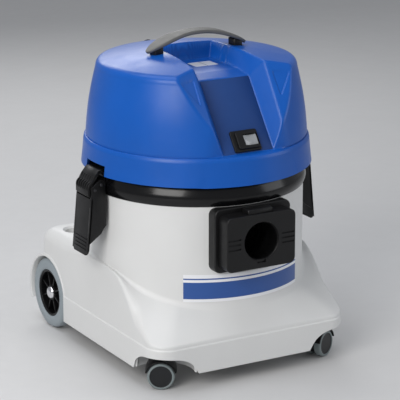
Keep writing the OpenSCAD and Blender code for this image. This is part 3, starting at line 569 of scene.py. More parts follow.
def skirt_height(point):
    """Height of the skirt's lower edge: arches over the casters and the rear wheels."""
    x, y = abs(point[0]), point[1]
    if x > WHEEL_OUT - WHEEL_W - 7.1 and y > WHEEL_Y - FENDER_R + 3.5:
        return WHEEL_R + math.sqrt(max((FENDER_R - 1.5) ** 2 - (y - WHEEL_Y) ** 2, 1))
    away = math.hypot(x - ARCH_X, y - ARCH_Y) / ARCH_R
    return SKIRT_Z + 31 * math.sqrt(1 - away * away) if away < 1 else SKIRT_Z


def tub_section(point, deck_round):
    """The closed section of tub and base along the ray through a point of the plan."""
    reach = float(np.hypot(*point))
    tank_y = point[1] / reach * TANK_R
    crease = 112 + 46 * float(ease(tank_y, -158, 14)) + 4 * float(ease(tank_y, 0, 120))
    edge = 72 + 84 * float(ease(point[1], -165, -38)) + 3 * float(ease(point[1], 0, 150))
    low = skirt_height(point)
    ledge = max(66.0, low + 2.5)
    width = reach - TANK_R
    soft = min(deck_round, max(width * 0.75, 2.5))
    inner = max(reach - 4, TANK_R + 1.5)
    wall = TANK_R - 4
    corners = [(0, 62), (wall, 62), (wall, TANK_TOP), (TANK_R, TANK_TOP), (TANK_R, crease), (reach, edge),
               (reach, ledge + 1.5), (reach + 1.5, ledge), (reach + 1.5, low), (inner, low),
               (inner, max(edge - 7, low + 2)), (TANK_R + 0.8, max(crease - 7, low + 3)), (TANK_R + 0.8, 58), (0, 58)]
    radii = [0, 12, 1.2, 1.2, 7, soft * 1.25, 1.0, 1.0, 1.3, 1.3, 6, 3, 2, 0]
    path = rounded_path(corners, radii, 7)
    return path, reach


def tub_shell(deck_round):
    """Tub and base as one closed skin."""
    right = base_outline()
    left = right[1:-1][::-1] * [-1, 1]
    plan = np.concatenate([right, left])
    rows = []
    for point in plan:
        path, reach = tub_section(point, deck_round)
        rows.append(np.c_[np.outer(path[:, 0], point / reach), path[:, 1]])
    return grid(np.array(rows), close_u=True, close_v=False)


def fender_shapes():
    """The right rear wheel's arch: its curved roof and its inner disc."""
    inner_x, roof = WHEEL_OUT - WHEEL_W - 7.5, []
    start, turn = -22, 203
    section = rounded_path([(FENDER_R - 3.5, inner_x), (FENDER_R, inner_x), (FENDER_R, BASE_W + 1.2),
                            (FENDER_R - 3.5, BASE_W + 1.2)], [0.5, 1, 1.2, 1.2], 4, closed=True)
    for angle in np.radians(np.linspace(start, start + turn, 90)):
        roof.append(np.c_[section[:, 1], WHEEL_Y + section[:, 0] * math.cos(angle),
                          WHEEL_R + section[:, 0] * math.sin(angle)])
    disc_path = circle(FENDER_R - 1, 90, start, turn)
    disc = prism(disc_path, 0, 3.5)
    disc = placed(disc, moved(inner_x, WHEEL_Y, WHEEL_R) @ Matrix(((0, 0, 1, 0), (1, 0, 0, 0), (0, 1, 0, 0),
                                                                  (0, 0, 0, 1))))
    return [loft(roof), disc]


def caster_pocket():
    """The hollow moulding over the right front caster: a wall round its inner side and a ceiling."""
    rows = []
    for angle in np.radians(np.arange(0, 360, 6)):
        aim = np.array([math.cos(angle), math.sin(angle)])
        reach = ARCH_R
        while reach > 5:
            spot = np.array([ARCH_X, ARCH_Y]) + aim * reach
            corner = (BASE_W - 33, -BASE_FRONT + 33)
            rounded = math.hypot(max(spot[0] - corner[0], 0), max(corner[1] - spot[1], 0)) < 31
            if spot[0] < BASE_W - 2 and spot[1] > -BASE_FRONT + 2 and rounded:
                break
            reach -= 0.5
        low = SKIRT_Z + 1 if reach > ARCH_R - 0.6 else 52.0
        path = [(0, 54), (reach - 9, 54), (reach - 3, 50), (reach - 3, low), (reach, low), (reach, 53),
                (reach - 7, 58), (0, 58)]
        if low > 50:
            path = [(0, 54), (reach - 9, 54), (reach - 3, 54), (reach - 2, 54), (reach, 54), (reach, 55),
                    (reach - 1, 58), (0, 58)]
        path = np.array(path)
        rows.append(np.c_[ARCH_X + aim[0] * path[:, 0], ARCH_Y + aim[1] * path[:, 0], path[:, 1]])
    return grid(np.array(rows), close_u=True, close_v=False)


class VACUUM_OT_tub(bpy.types.Operator):
    """Builds the white tub with its base, wheel arches and tool sockets"""

    bl_idname = "vacuum.tub"
    bl_label = "Tub and base"

    def execute(self, context):
        sizes = context.scene.vacuum_sizes
        shell = raw_object("tub", [tub_shell(sizes.deck_round / MM)], finish("tub"))
        socket_x, socket_y, socket_r, top = BASE_W - 38, 155.0, 17.5, 161.0
        bore = [(0, top - 41), (socket_r - 2, top - 41), (socket_r, top - 39), (socket_r, top - 5),
                (socket_r + 0.7, top - 3.4), (socket_r + 2.2, top - 1.9), (socket_r + 3.6, top + 0.2),
                (socket_r + 3.6, top + 9), (0, top + 9)]
        cutters = [placed(lathe(bore, 64, closed=False), moved(side * socket_x, socket_y, 0)) for side in (-1, 1)]
        hose = [(0, -40), (31, -40), (31, 40), (0, 40)]
        cutters.append(placed(lathe(hose, 64, closed=False), moved(0, -TANK_R, INLET_Z) @ ALONG_Y))
        carve(shell, raw_object("cutters", cutters))
        extra = []
        for shape in fender_shapes() + [caster_pocket()]:
            extra += [shape, mirrored(shape)]
        cup = [(0, top - 44), (socket_r + 3, top - 44), (socket_r + 3, top - 4), (socket_r, top - 4),
               (socket_r, top - 41), (0, top - 41)]
        boss = [(5.2, -20), (10, -20), (11, -19), (11, 1), (5.2, 1)]
        for side in (-1, 1):
            extra.append(placed(lathe(cup, 48, closed=False), moved(side * socket_x, socket_y, 0)))
            extra.append(placed(lathe(boss, 48), moved(side * (WHEEL_OUT - WHEEL_W - 6), WHEEL_Y, WHEEL_R)
                                @ ALONG_X @ Matrix.Scale(side, 4, (0, 0, 1))))
        trims = settle(raw_object("tub_trims", extra, finish("tub")))
        ready(joined("tub", [shell, trims]), "base", "white_body", "tank_shell", "base_front", "base_rear",
              "tool_cups")
        return {"FINISHED"}


class VACUUM_OT_ring(bpy.types.Operator):
    """Builds the black ring on the tub's top edge"""

    bl_idname = "vacuum.ring"
    bl_label = "Tank ring"

    def execute(self, context):
        outer, low, high = RING_HIGH[0], TANK_TOP - 4, RING_HIGH[2]
        inner, seat = TANK_R - 9.5, TANK_R - 4.3
        path = rounded_path([(inner, high), (inner, low + 1), (seat, low + 1), (seat, low + 3.9),
                             (TANK_R + 0.2, low + 3.9), (TANK_R + 0.2, low), (outer - 3, low), (outer, low + 7),
                             (outer, low + 14), (outer - 5, high)], [1, 1, 0.3, 0.3, 0.3, 0.3, 3, 7, 7, 3], 7,
                            closed=True)
        piece("tank_trim", [lathe(path, 220)], "ring", "base", "black_gloss", "tank_ring", sharp=50)
        return {"FINISHED"}


# ---------------------------------------------------------------- motor cover
PANEL_TILT = math.radians(53.5)
PANEL_TOP = np.array([0.0, -80.0, TANK_TOP + 163.0])
PANEL_UP = np.array([0.0, math.cos(PANEL_TILT), math.sin(PANEL_TILT)])
PANEL_OUT = np.array([0.0, -math.sin(PANEL_TILT), math.cos(PANEL_TILT)])
PANEL_W, PANEL_LEN = 41.0, 118.5
FACET_OUT = unit([-0.23, -0.798, 0.557])
FACET_AT = np.array([62.0, -98.0, 449.7])
RIM_R, RIM_H = 170.0, 43.0
SHOULDER_Z = RIM_Z + RIM_H
SEAM_R = 164.5
FLAT_FRONT = 151.5
FACET_DEPTH = 1.8
CHANNEL_W, CHANNEL_BACK, FLOOR_LIFT = 44.5, 38, 4
COVER_IN_R, COVER_EDGE, COVER_CEILING = 158, 3.6, 36


def soft_max(a, b, k):
    """The larger value, with a rounded join."""
    h = np.maximum(k - np.abs(a - b), 0) / k
    return np.maximum(a, b) + h * h * k * 0.25


def soft_min(a, b, k):
    """The smaller value, with a rounded join."""
    return -soft_max(-a, -b, k)


def crown_height(r):
    """Height of the crown at a distance from the axis."""
    return CROWN_Z - 0.4 - r * r / 1368


def wall_radius(z):
    """Radius of the motor cover's upper wall at a height."""
    up = (z - SHOULDER_Z) / 129
    return 164.3 - 20.5 * up + 2.6 * np.sin(math.pi * np.clip(up * 1.3, 0, 1))


def cover_field(p, k):
    """Below zero inside the motor cover, in about millimetres."""
    x, y, z = np.abs(p[:, 0]), p[:, 1], p[:, 2]
    r = np.hypot(x, y)
    upper = soft_max(r - wall_radius(z), z - crown_height(r), 8)
    folded = np.c_[x, y, z]
    facet = (folded - FACET_AT) @ FACET_OUT
    upper = soft_max(upper, facet, k * 1.3)
    upper = soft_max(upper, -y - FLAT_FRONT, k * 2)
    # A rounded triangle pressed into each front facet
    corners = np.array([[65.0, -106.1, 439.0], [90.0, -115.0, 437.5], [66.0, -130.5, 404.5]])
    edges = np.roll(corners, -1, 0) - corners
    sides = unit(np.cross(edges, FACET_OUT))
    middle = corners.mean(0)
    sides *= np.sign(((corners - middle) * sides).sum(1, keepdims=True))
    inset = (folded - corners[0]) @ sides[0]
    for corner, side in zip(corners[1:], sides[1:]):
        inset = soft_max(inset, (folded - corner) @ side, 5)
    upper = soft_max(upper, -soft_max(inset, -(facet + FACET_DEPTH), 1.2), 1.2)
    # The channel: a panel floor, a level floor, sloping sides and a back
    over_panel = (p - PANEL_TOP) @ PANEL_OUT
    above_floor = z - (PANEL_TOP[2] + FLOOR_LIFT)
    over_level = np.maximum(above_floor, above_floor - 0.11 * (y + 47))
    over = soft_max(over_panel, over_level, k)
    front = ease(-y, -8, 96)
    side = (x - (CHANNEL_W - 3.5 * ease(-y, 10, 80)) - (0.24 + 0.44 * front) * np.maximum(over, -2)) * 0.85
    back = (y - CHANNEL_BACK - 0.22 * over) * 0.97
    channel = soft_max(soft_max(-over, side, k * 0.6), back, k)
    upper = soft_max(upper, -channel, k)
    rim = soft_max(r - (RIM_R - 3 * (z - RIM_Z) / RIM_H), z - SHOULDER_Z + 1, 5)
    groove = np.maximum(np.abs(r - SEAM_R) * 0.5, np.abs(z - SHOULDER_Z)) - 1.0
    return soft_max(soft_min(rim, upper, 2.5), -groove, 1.0)


def cover_rows(top_step, low):
    """Heights and radii of the guide profile whose rays shape the cover, from the rim up to the pole."""
    wall = [(RIM_R, z) for z in np.linspace(low, SHOULDER_Z - 6, 12)]
    wall += [(165.5, z) for z in np.linspace(SHOULDER_Z - 4.5, SHOULDER_Z + 6, 11)]
    for z in np.arange(SHOULDER_Z + 6 + top_step, CROWN_Z - 18, top_step):
        wall.append((float(wall_radius(z)), z))
    last = wall[-1]
    turn = [(last[0] - 12 * (1 - math.cos(t)), last[1] + 7 * math.sin(t)) for t in np.linspace(0.2, math.pi / 2, 7)]
    wall += turn
    top = [(r, wall[-1][1] + (wall[-1][0] - r) * 0.05) for r in np.arange(wall[-1][0] - top_step, 2.5, -top_step)]
    return np.array(wall + top)


NOTCH_HALF, NOTCH_TOP = 28.0, RIM_Z + 16.5


def cover_columns(step):
    """Plan angles round the cover, close together in front, with a break at each side of the latch notches."""
    edge = math.degrees(math.asin(NOTCH_HALF / RIM_R))
    half = list(np.arange(0, 66, step * 0.33)) + list(np.arange(66, 90 - edge - 0.3, step * 0.8))
    half += [90 - edge - 0.05, 90 - edge + 0.05] + list(np.linspace(90 - edge + 1, 90 + edge - 1, 14))
    half += [90 + edge - 0.05, 90 + edge + 0.05] + list(np.arange(90 + edge + 1, 179.5, step * 0.8)) + [180.0]
    half = np.array(half)
    return np.concatenate([half, 360 - half[1:-1][::-1]])


def cast(origin, aims, k):
    """How far along each ray the cover's skin is, searched from outside inwards."""
    near, far = np.full(len(aims), 60.0), np.full(len(aims), 420.0)
    reach = far.copy()
    alive = np.ones(len(aims), bool)
    for _ in range(90):
        value = cover_field(origin + aims * reach[:, None], k)
        alive &= value > 0
        if not alive.any():
            break
        reach = np.where(alive, reach - np.clip(value * 0.6, 0.4, 40), reach)
    inside, outside = np.maximum(reach, near), np.minimum(reach + 2.0, far)
    for _ in range(20):
        middle = (inside + outside) / 2
        solid = cover_field(origin + aims * middle[:, None], k) < 0
        inside, outside = np.where(solid, middle, inside), np.where(solid, outside, middle)
    return origin + aims * ((inside + outside) / 2)[:, None]


def cover_skin(step, k):
    """Points of the cover's skin as a grid of columns and rows, and its pole."""
    origin = np.array([0.0, 0.0, 150.0])
    angles = np.radians(cover_columns(step / 1.9))
    columns = []
    for angle in angles:
        notch = abs(math.cos(angle)) * RIM_R < NOTCH_HALF
        guide = cover_rows(step, NOTCH_TOP if notch else RIM_Z)
        aims = np.c_[guide[:, 0] * math.sin(angle), -guide[:, 0] * math.cos(angle), guide[:, 1]] - origin
        columns.append(unit(aims))
    aims = np.array(columns)
    points = cast(origin, aims.reshape(-1, 3), k).reshape(aims.shape)
    pole = cast(origin, np.array([[0.0, 0.0, 1.0]]), k)
    return points, pole


def field_normals(points, k):
    """Outward directions of the cover's field."""
    gap = 0.15
    slope = [cover_field(points + step, k) - cover_field(points - step, k) for step in np.eye(3) * gap]
    return unit(np.stack(slope, 1) + 1e-9)


class VACUUM_OT_cover(bpy.types.Operator):
    """Builds the blue motor cover with its channel, facets and latch notches"""

    bl_idname = "vacuum.cover"
    bl_label = "Motor cover"

    def execute(self, context):
        sizes = context.scene.vacuum_sizes
        step, k = sizes.step / MM, sizes.edge / MM
        outer, pole = cover_skin(step, k)
        count, rows = outer.shape[:2]
        points, faces = grid(outer, close_u=True, close_v=False)
        faces = [face[::-1] for face in faces]
        points = np.concatenate([points, pole])
        top = len(points) - 1
        faces += [(i * rows + rows - 1, ((i + 1) % count) * rows + rows - 1, top) for i in range(count)]
        normals = field_normals(points, k)
        # Wall below the rim: in from the rim's edge, up to a plain ceiling
        bottom = outer[:, 0]
        inward = unit(bottom * [1, 1, 0])
        lip = bottom - inward * COVER_EDGE
        ceiling = np.c_[(inward * COVER_IN_R)[:, :2], np.full(count, RIM_Z + COVER_CEILING)]
        centre = np.array([[0, 0, RIM_Z + COVER_CEILING]])
        under_points = np.concatenate([bottom, lip, ceiling, centre])
        under_faces = []
        for i in range(count):
            j = (i + 1) % count
            under_faces += [(j, i, count + i, count + j), (count + j, count + i, 2 * count + i, 2 * count + j),
                            (2 * count + j, 2 * count + i, 3 * count)]
        skin = raw_object("motor_cover", [(points, faces)], finish("cover"), clean=False)
        skin.data.shade_smooth()
        skin.data.normals_split_custom_set_from_vertices(normals.tolist())
        under = raw_object("cover_under", [(under_points, under_faces)], finish("cover"), clean=False)
        under.data.shade_smooth()
        ready(joined("motor_cover", [skin, under]), "base", "blue_cover", "head_cover")
        return {"FINISHED"}


def panel_matrix(lift=0.0):
    """Places a shape drawn on the panel: X across, Y up the slope, Z out of it, from the panel's top edge."""
    matrix = Matrix.Identity(4)
    for row in range(3):
        matrix[row][1], matrix[row][2] = PANEL_UP[row], PANEL_OUT[row]
        matrix[row][3] = PANEL_TOP[row] + PANEL_OUT[row] * lift
    return matrix


def rounded_box(width, height, radius, centre=(0, 0), steps=6):
    """A rounded rectangle's outline."""
    w, h = width / 2, height / 2
    corners = [(centre[0] - w, centre[1] - h), (centre[0] + w, centre[1] - h), (centre[0] + w, centre[1] + h),
               (centre[0] - w, centre[1] + h)]
    return rounded_path(corners, [radius] * 4, steps, closed=True)


SWITCH_UP = -100.0


class VACUUM_OT_panel(bpy.types.Operator):
    """Builds the control panel, the switch with its splash cover and the rocker"""

    bl_idname = "vacuum.panel"
    bl_label = "Panel and switch"

    def execute(self, context):
        width = 2 * PANEL_W - 0.8
        plate = rounded_box(width, PANEL_LEN - 1.2, 1.5, (0, -PANEL_LEN / 2), 4)
        piece("panel", [placed(prism(plate, -1.2, 0.7), panel_matrix())], "panel", "base", "panel_grey",
              "control_panel", edge=0.35, segments=2)
        low = raw_object("switch_surround", [
            placed(prism(rounded_box(44, 33, 3, (0, SWITCH_UP)), 0.2, 3.6), panel_matrix())], finish("black"))
        round_edges(low, 1.0 * MM)
        step = rounded_box(35, 26, 3, (2.5, SWITCH_UP), 5)
        middle = round_edges(raw_object("surround_step", [placed(prism(step, 3.0, 6.4), panel_matrix())],
                                        finish("black")), 0.9 * MM)
        well = placed(block((-4.2, SWITCH_UP - 8.8, -1.2), (19.2, SWITCH_UP + 8.8, 12)), panel_matrix())
        both = joined("switch_surround", [low, middle])
        carve(both, raw_object("well", [well]))
        ready(both, "base", "black_gloss", "switch_bezel", "switch_body")
        centre_x, half = 7.5, 10.4
        across = np.linspace(-half, half, 15)
        crown = [(x, 5.4 - 1.6 * math.cos(x / half * math.pi / 2)) for x in across]
        outline = [(-half, -4.0)] + [(x, z) for x, z in crown] + [(half, -4.0), (5, -8), (-5, -8)]
        outline = [(x + centre_x, z) for x, z in outline][::-1]
        rocker = placed(prism(outline, -8, 8), panel_matrix() @ moved(0, SWITCH_UP, 0) @ UPRIGHT)
        piece("rocker", [rocker], "smoke", "rocker", "smoke_cover", "switch_rocker", edge=0.6)
        return {"FINISHED"}


class VACUUM_OT_labels(bpy.types.Operator):
    """Builds the plain sticker on the tub and the small plain label on the cover"""

    bl_idname = "vacuum.labels"
    bl_label = "Sticker and label"

    def execute(self, context):
        low, high = frame_box("tank_sticker")
        half = math.radians(36.5)
        rows = []
        for angle in np.linspace(-half, half, 80):
            out = np.array([math.sin(angle), -math.cos(angle)])
            path = rounded_path([(TANK_R + 0.05, low[2]), (TANK_R + 0.4, low[2]), (TANK_R + 0.4, high[2]),
                                 (TANK_R + 0.05, high[2])], [0.1] * 4, 2, closed=True)
            rows.append(np.c_[np.outer(path[:, 0], out), path[:, 1]])
        piece("tub_sticker", [loft(rows)], "sticker", "base", "sticker", "tank_sticker")
        low, high = frame_box("rating_label")
        centre = (low + high) / 2
        plate = rounded_box(high[0] - low[0] - 0.2, high[1] - low[1] - 0.2, 2.0, (centre[0], centre[1]), 5)
        piece("small_label", [prism(plate, PANEL_TOP[2] + 3.6, PANEL_TOP[2] + 4.25)], "label", "base", "sticker",
              "rating_label")
        return {"FINISHED"}


# ---------------------------------------------------------------- handle
class VACUUM_OT_handle(bpy.types.Operator):
    """Builds the carrying strap with its leaf-shaped ends, its feet and the cable gland"""

    bl_idname = "vacuum.handle"
    bl_label = "Handle"

    def execute(self, context):
        half, top = STRAP_HIGH[0], STRAP_HIGH[2]
        arc = 149.0
        sections = []
        for s in np.linspace(-1, 1, 121):
            x = half * math.sin(s * math.pi / 2)
            lean = math.asin(x / arc)
            leaf = max(0.0, 1 - ((abs(x) - 50) / 34) ** 2)
            wide = 12.5 + 2.6 * ease(abs(x), 16, 50)
            if abs(x) > 50:
                wide = 15.1 * math.sqrt(leaf)
            wide = max(wide, 0.15)
            thick = 6.0 - 1.8 * float(ease(abs(x), 50, half))
            thick = min(thick, wide * 1.6)
            path = rounded_path([(-wide, -thick), (wide, -thick), (wide, -0.35), (wide * 0.6, 0), (-wide * 0.6, 0),
                                 (-wide, -0.35)], [thick * 0.35, thick * 0.35, 1.2, 3, 3, 1.2], 5, closed=True)
            up = np.array([math.sin(lean), 0, math.cos(lean)])
            base = np.array([x, 0, top - arc + math.sqrt(arc * arc - x * x)])
            sections.append(base + path[:, :1] * np.array([[0, 1, 0]]) + path[:, 1:] * up)
        piece("strap", [loft(sections)], "strap", "base", "black_matte", "handle_strap", sharp=60)
        feet = []
        for side in (-1, 1):
            foot = rounded_box(16, 19, 4, (side * 66.5, 0))
            feet.append(prism(foot, float(crown_height(66)) - 3, top - arc + math.sqrt(arc * arc - 66 * 66) - 4.4))
        piece("strap_feet", feet, "black", "base", "black_matte", "handle_feet", edge=0.8)
        low, high = frame_box("cable_outlet")
        outlet_z = (low[2] + high[2]) / 2
        path = rounded_path([(4, low[1]), (9, low[1]), (9, 149), (13, 150), (12.4, 152), (10, 155.5), (9, 158),
                             (4, 158)], [0.3, 0.5, 0.5, 1.5, 1, 2, 1.2, 1], 5, closed=True)
        outlet = placed(lathe(path, 64), moved(0, 0, outlet_z) @ ALONG_Y)
        piece("cable_gland", [outlet], "black", "base", "black_matte", "cable_outlet")
        return {"FINISHED"}


# ---------------------------------------------------------------- hose inlet
class VACUUM_OT_inlet(bpy.types.Operator):
    """Builds the hose inlet with its saddle, grooves and release tab"""

    bl_idname = "vacuum.inlet"
    bl_label = "Hose inlet"

    def execute(self, context):
        width, height = FLANGE_HIGH[0] * 2, FLANGE_HIGH[2] - FLANGE_LOW[2]
        middle = (FLANGE_HIGH[2] + FLANGE_LOW[2]) / 2
        outline = rounded_box(width, height, 10, (0, middle), 7)
        dense = []
        for a, b in zip(outline, np.roll(outline, -1, 0)):
            parts = max(1, int(np.linalg.norm(b - a) // 8))
            dense += [a + (b - a) * k / parts for k in range(parts)]
        outline = np.array(dense)
        count = len(outline)
        front = np.c_[outline[:, 0], np.full(count, FLANGE_LOW[1]), outline[:, 1]]
        back = np.c_[outline[:, 0], -np.sqrt((TANK_R - 2) ** 2 - outline[:, 0] ** 2), outline[:, 1]]
        points = np.concatenate([front, back])
        faces = [tuple(range(count)), tuple(range(count, 2 * count))[::-1]]
        faces += [(i, count + i, count + (i + 1) % count, (i + 1) % count) for i in range(count)]
        saddle = round_edges(raw_object("inlet_saddle", [(points, faces)], finish("black")), 2.2 * MM, 4)
        tube = lathe([(0, -30), (31, -30), (31, 40), (0, 40)], 72, closed=False)
        carve(saddle, raw_object("tube", [placed(tube, moved(0, -TANK_R, INLET_Z) @ ALONG_Y)]))
        ready(saddle, "base", "black_matte", "inlet_flange")

        face, depth = BOX_LOW[1], -BOX_LOW[1] - TANK_R - 4
        wide, tall = BOX_HIGH[0], (BOX_HIGH[2] - BOX_LOW[2]) / 2
        housing = prism(rounded_box(2 * wide, 2 * tall, 9, (0, 0), 8), 0, depth)
        housing = raw_object("inlet_housing", [placed(housing, moved(0, face, INLET_Z) @ ALONG_Y)], finish("black"))
        round_edges(housing, 2.0 * MM, 4)
        cut = [placed(lathe([(0, -5), (30.5, -5), (28.5, 1.2), (27.5, 2.6), (27.5, 60), (0, 60)], 96, closed=False),
                      moved(0, face, INLET_Z) @ ALONG_Y)]
        cut.append(block((-7, face - 2, INLET_Z - 32.5), (7, face + 6, INLET_Z - 20)))
        cut.append(block((-20.8, face + 3.2, BOX_HIGH[2] - 7.6), (20.8, face + 22.6, BOX_HIGH[2] + 4)))
        carve(housing, raw_object("cut", cut))
        groove = block((-10.5, -2, -1.3), (10.5, 2, 1.3))
        for side in (-1, 1):
            slots = repeated(groove, 3, (0, 0, 7.0), finish("black"), moved(side * (wide - 12.5), face, INLET_Z - 7),
                             name="Grooves")
            carve(housing, slots)
        pipe = rounded_path([(27.5, 2), (31.2, 2), (31.2, 37), (27.5, 37)], [0.2, 0.2, 1, 1], 4, closed=True)
        pipe = settle(raw_object("inlet_pipe", [placed(lathe(pipe, 96), moved(0, face, INLET_Z) @ ALONG_Y)],
                                 finish("black")))
        ready(joined("inlet_housing", [housing, pipe]), "base", "black_matte", "inlet_box")
        low, high = frame_box("release_button")
        ridge = [(y, high[2] - 2.8 + 2.8 * math.sqrt(max(1 - (y / 9.4) ** 2, 0))) for y in np.linspace(-9, 9, 13)]
        side_view = [(-9, low[2])] + ridge + [(9, low[2])]
        tab = prism([(z, y) for y, z in side_view], -20, 20)
        across = Matrix(((0, 0, 1, 0), (0, 1, 0, (low[1] + high[1]) / 2), (1, 0, 0, 0), (0, 0, 0, 1)))
        piece("release_tab", [placed(tab, across)], "black", "button", "black_gloss", "release_button", edge=0.9)
        return {"FINISHED"}


# ---------------------------------------------------------------- latches
LEVER_PIN = np.array([(PIN_HIGH[0] + PIN_HIGH[0] - 5) / 2, (PIN_LOW[2] + PIN_HIGH[2]) / 2])
HOOK_PIN = np.array([(HOOK_PIN_LOW[0] + HOOK_PIN_HIGH[0]) / 2, (HOOK_PIN_LOW[2] + HOOK_PIN_HIGH[2]) / 2])


def hook_path(nose_z):
    """Outline of the right latch's hook in X and Z: skin over the pin, then the nose over the deck."""
    px, pz = HOOK_PIN
    outer = [(px + 6.2, pz - 12), (px + 9.6, pz - 8)]
    outer += [tuple(p) for p in circle(9.6, 9, 0, 58, (px, pz + 2))]
    nose = [(px + 0.5, nose_z - 6.5), (px - 7.5, nose_z + 3), (px - 19, nose_z + 3), (px - 19, nose_z),
            (px - 11, nose_z), (px - 5.5, nose_z - 7)]
    inner = [tuple(p) for p in circle(5.6, 5, 80, -80, (px, pz + 2))]
    return outer + nose + inner + [(px + 3.6, pz - 12)]


def upright(outline, low, high):
    """An outline in X and Z, thick from low to high along Y."""
    return placed(prism([(x, z) for x, z in outline], -high, -low), UPRIGHT)


def pin_rod(place, reach):
    """A latch pin along Y through a point in X and Z, with rounded ends."""
    path = rounded_path([(0, -reach), (2.5, -reach), (2.5, reach), (0, reach)], [0, 0.6, 0.6, 0], 4)
    return placed(lathe(path, 32, closed=False), moved(place[0], 0, place[1]) @ ALONG_Y)


class VACUUM_OT_latches(bpy.types.Operator):
    """Builds both latches: brackets, pins, levers and ribbed hooks"""

    bl_idname = "vacuum.latches"
    bl_label = "Latches"

    def execute(self, context):
        sizes = context.scene.vacuum_sizes
        nose_z = RIM_Z + 5.4
        half = LEVER_HIGH[1]
        hook_half = half - 4.1
        top, bottom = HOOK_PIN[1] - 13, LEVER_LOW[2]
        bracket, pins = [], []
        for side in (1, -1):
            base = [upright([(RING_HIGH[0] - 3, TANK_TOP + 1), (RING_HIGH[0] + 4, TANK_TOP + 1),
                             (RING_HIGH[0] + 4, TANK_TOP + 21), (RING_HIGH[0] - 3, TANK_TOP + 21)], -14, 14)]
            for y in (-14, 9):
                ear = [tuple(p) for p in circle(5.5, 14, -75, 165, LEVER_PIN)]
                ear = [(RING_HIGH[0] + 1, TANK_TOP + 3)] + ear + [(RING_HIGH[0] + 1, TANK_TOP + 20)]
                base.append(upright(ear, y, y + 5))
            rod = pin_rod(LEVER_PIN, half + 0.9)
            bracket += base if side > 0 else [mirrored(b) for b in base]
            pins.append(rod if side > 0 else mirrored(rod))
        piece("latch_brackets_pair", bracket, "black", "base", "black_matte", "latch_brackets", edge=0.5,
              segments=2)
        piece("latch_pins", pins, "dark steel", "base", "steel", "lever_pins")

        for name, side in (("right", 1), ("left", -1)):
            def sided(shape, side=side):
                return shape if side > 0 else mirrored(shape)

            hook = raw_object(f"hook_{name}_skin", [sided(upright(hook_path(nose_z), -hook_half, hook_half))],
                              finish("black"))
            round_edges(hook, 0.7 * MM, 3, 50)
            knuckles = []
            for y in (-hook_half, hook_half - 5):
                knuckles.append(sided(upright([tuple(p) for p in circle(5.7, 32, centre=HOOK_PIN)], y, y + 5)))
            knuckles = round_edges(raw_object("knuckles", knuckles, finish("black")), 0.4 * MM, 2, 50)
            rib_path = [(x, z) for x, z in circle(10.9, 12, -14, 82, (HOOK_PIN[0], HOOK_PIN[1] + 2))]
            rib_path += [(HOOK_PIN[0] + 0.4, nose_z - 5.2), (HOOK_PIN[0] - 2, nose_z - 6),
                         (HOOK_PIN[0] + 8, HOOK_PIN[1] - 2)]
            pitch = 2 * (hook_half - 4) / (sizes.ribs - 1)
            rib = upright(rib_path, -1.1, 1.1)
            mirror_x = Matrix.Scale(side, 4, (1, 0, 0))
            ribs = repeated(rib, sizes.ribs, (0, pitch, 0), finish("black"),
                            mirror_x @ moved(0, -(hook_half - 4), 0), 0.35 * MM, "Ribs")
            ready(joined(f"hook_{name}_skin", [hook, knuckles, ribs]), f"hook_{name}", "black_matte",
                  f"latch_hook_{name}")

            cheek = [(TANK_R + 3, top - 4), (TANK_R + 5, top - 42), (TANK_R + 9, top - 46), (TANK_R + 13, top - 53),
                     (TANK_R + 35, bottom + 15), (TANK_R + 36.5, bottom + 3), (TANK_R + 28.6, top + 1)]
            ring = [tuple(p) for p in circle(6.0, 10, -30, 85, HOOK_PIN)]
            crown = [tuple(p) for p in circle(6.6, 10, 60, 150, LEVER_PIN)]
            cheek = cheek + ring + crown
            walls = [sided(upright(cheek, y, y + 3.5)) for y in (-half, half - 3.5)]
            walls = round_edges(raw_object("cheeks", walls, finish("black")), 0.7 * MM, 3)
            rows = []
            for t in np.linspace(0, 1, 24):
                z = top + (bottom - top) * t
                x = TANK_R + 29 + 8.0 * t ** 1.15
                wide = half - 5.5 * max(0.0, (t - 0.9) / 0.1) ** 2
                section = rounded_path([(-wide, -3.4), (wide, -3.4), (wide, 0), (-wide, 0)],
                                       [0.5, 0.5, 1.1, 1.1], 5, closed=True)
                rows.append(np.c_[x + section[:, 1], section[:, 0], np.full(len(section), z)])
            plate = settle(raw_object("plate", [sided(loft(rows))], finish("black")))
            bar = block((-1.0, -half + 6, -0.8), (1.0, half - 6, 0.8))
            grips = repeated(bar, 4, (-0.55, 0, 5.2), finish("black"),
                             mirror_x @ moved(TANK_R + 36.3, 0, bottom + 8), 0.4 * MM, "Grips")
            ready(joined(f"lever_{name}_plate", [walls, plate, grips]), f"lever_{name}", "black_matte",
                  f"latch_lever_{name}")
            piece(f"hook_{name}_rod", [sided(pin_rod(HOOK_PIN, half + 0.5))], "dark steel", f"lever_{name}",
                  "steel", f"hook_pin_{name}")
        return {"FINISHED"}


# ---------------------------------------------------------------- rear wheels
def at_wheel(side):
    """Places a shape turned about Z on a side's rear wheel, from its inner face outwards."""
    inner_face = moved(side * (WHEEL_OUT - WHEEL_W), WHEEL_Y, WHEEL_R)
    return inner_face @ Matrix.Scale(side, 4, (1, 0, 0)) @ ALONG_X


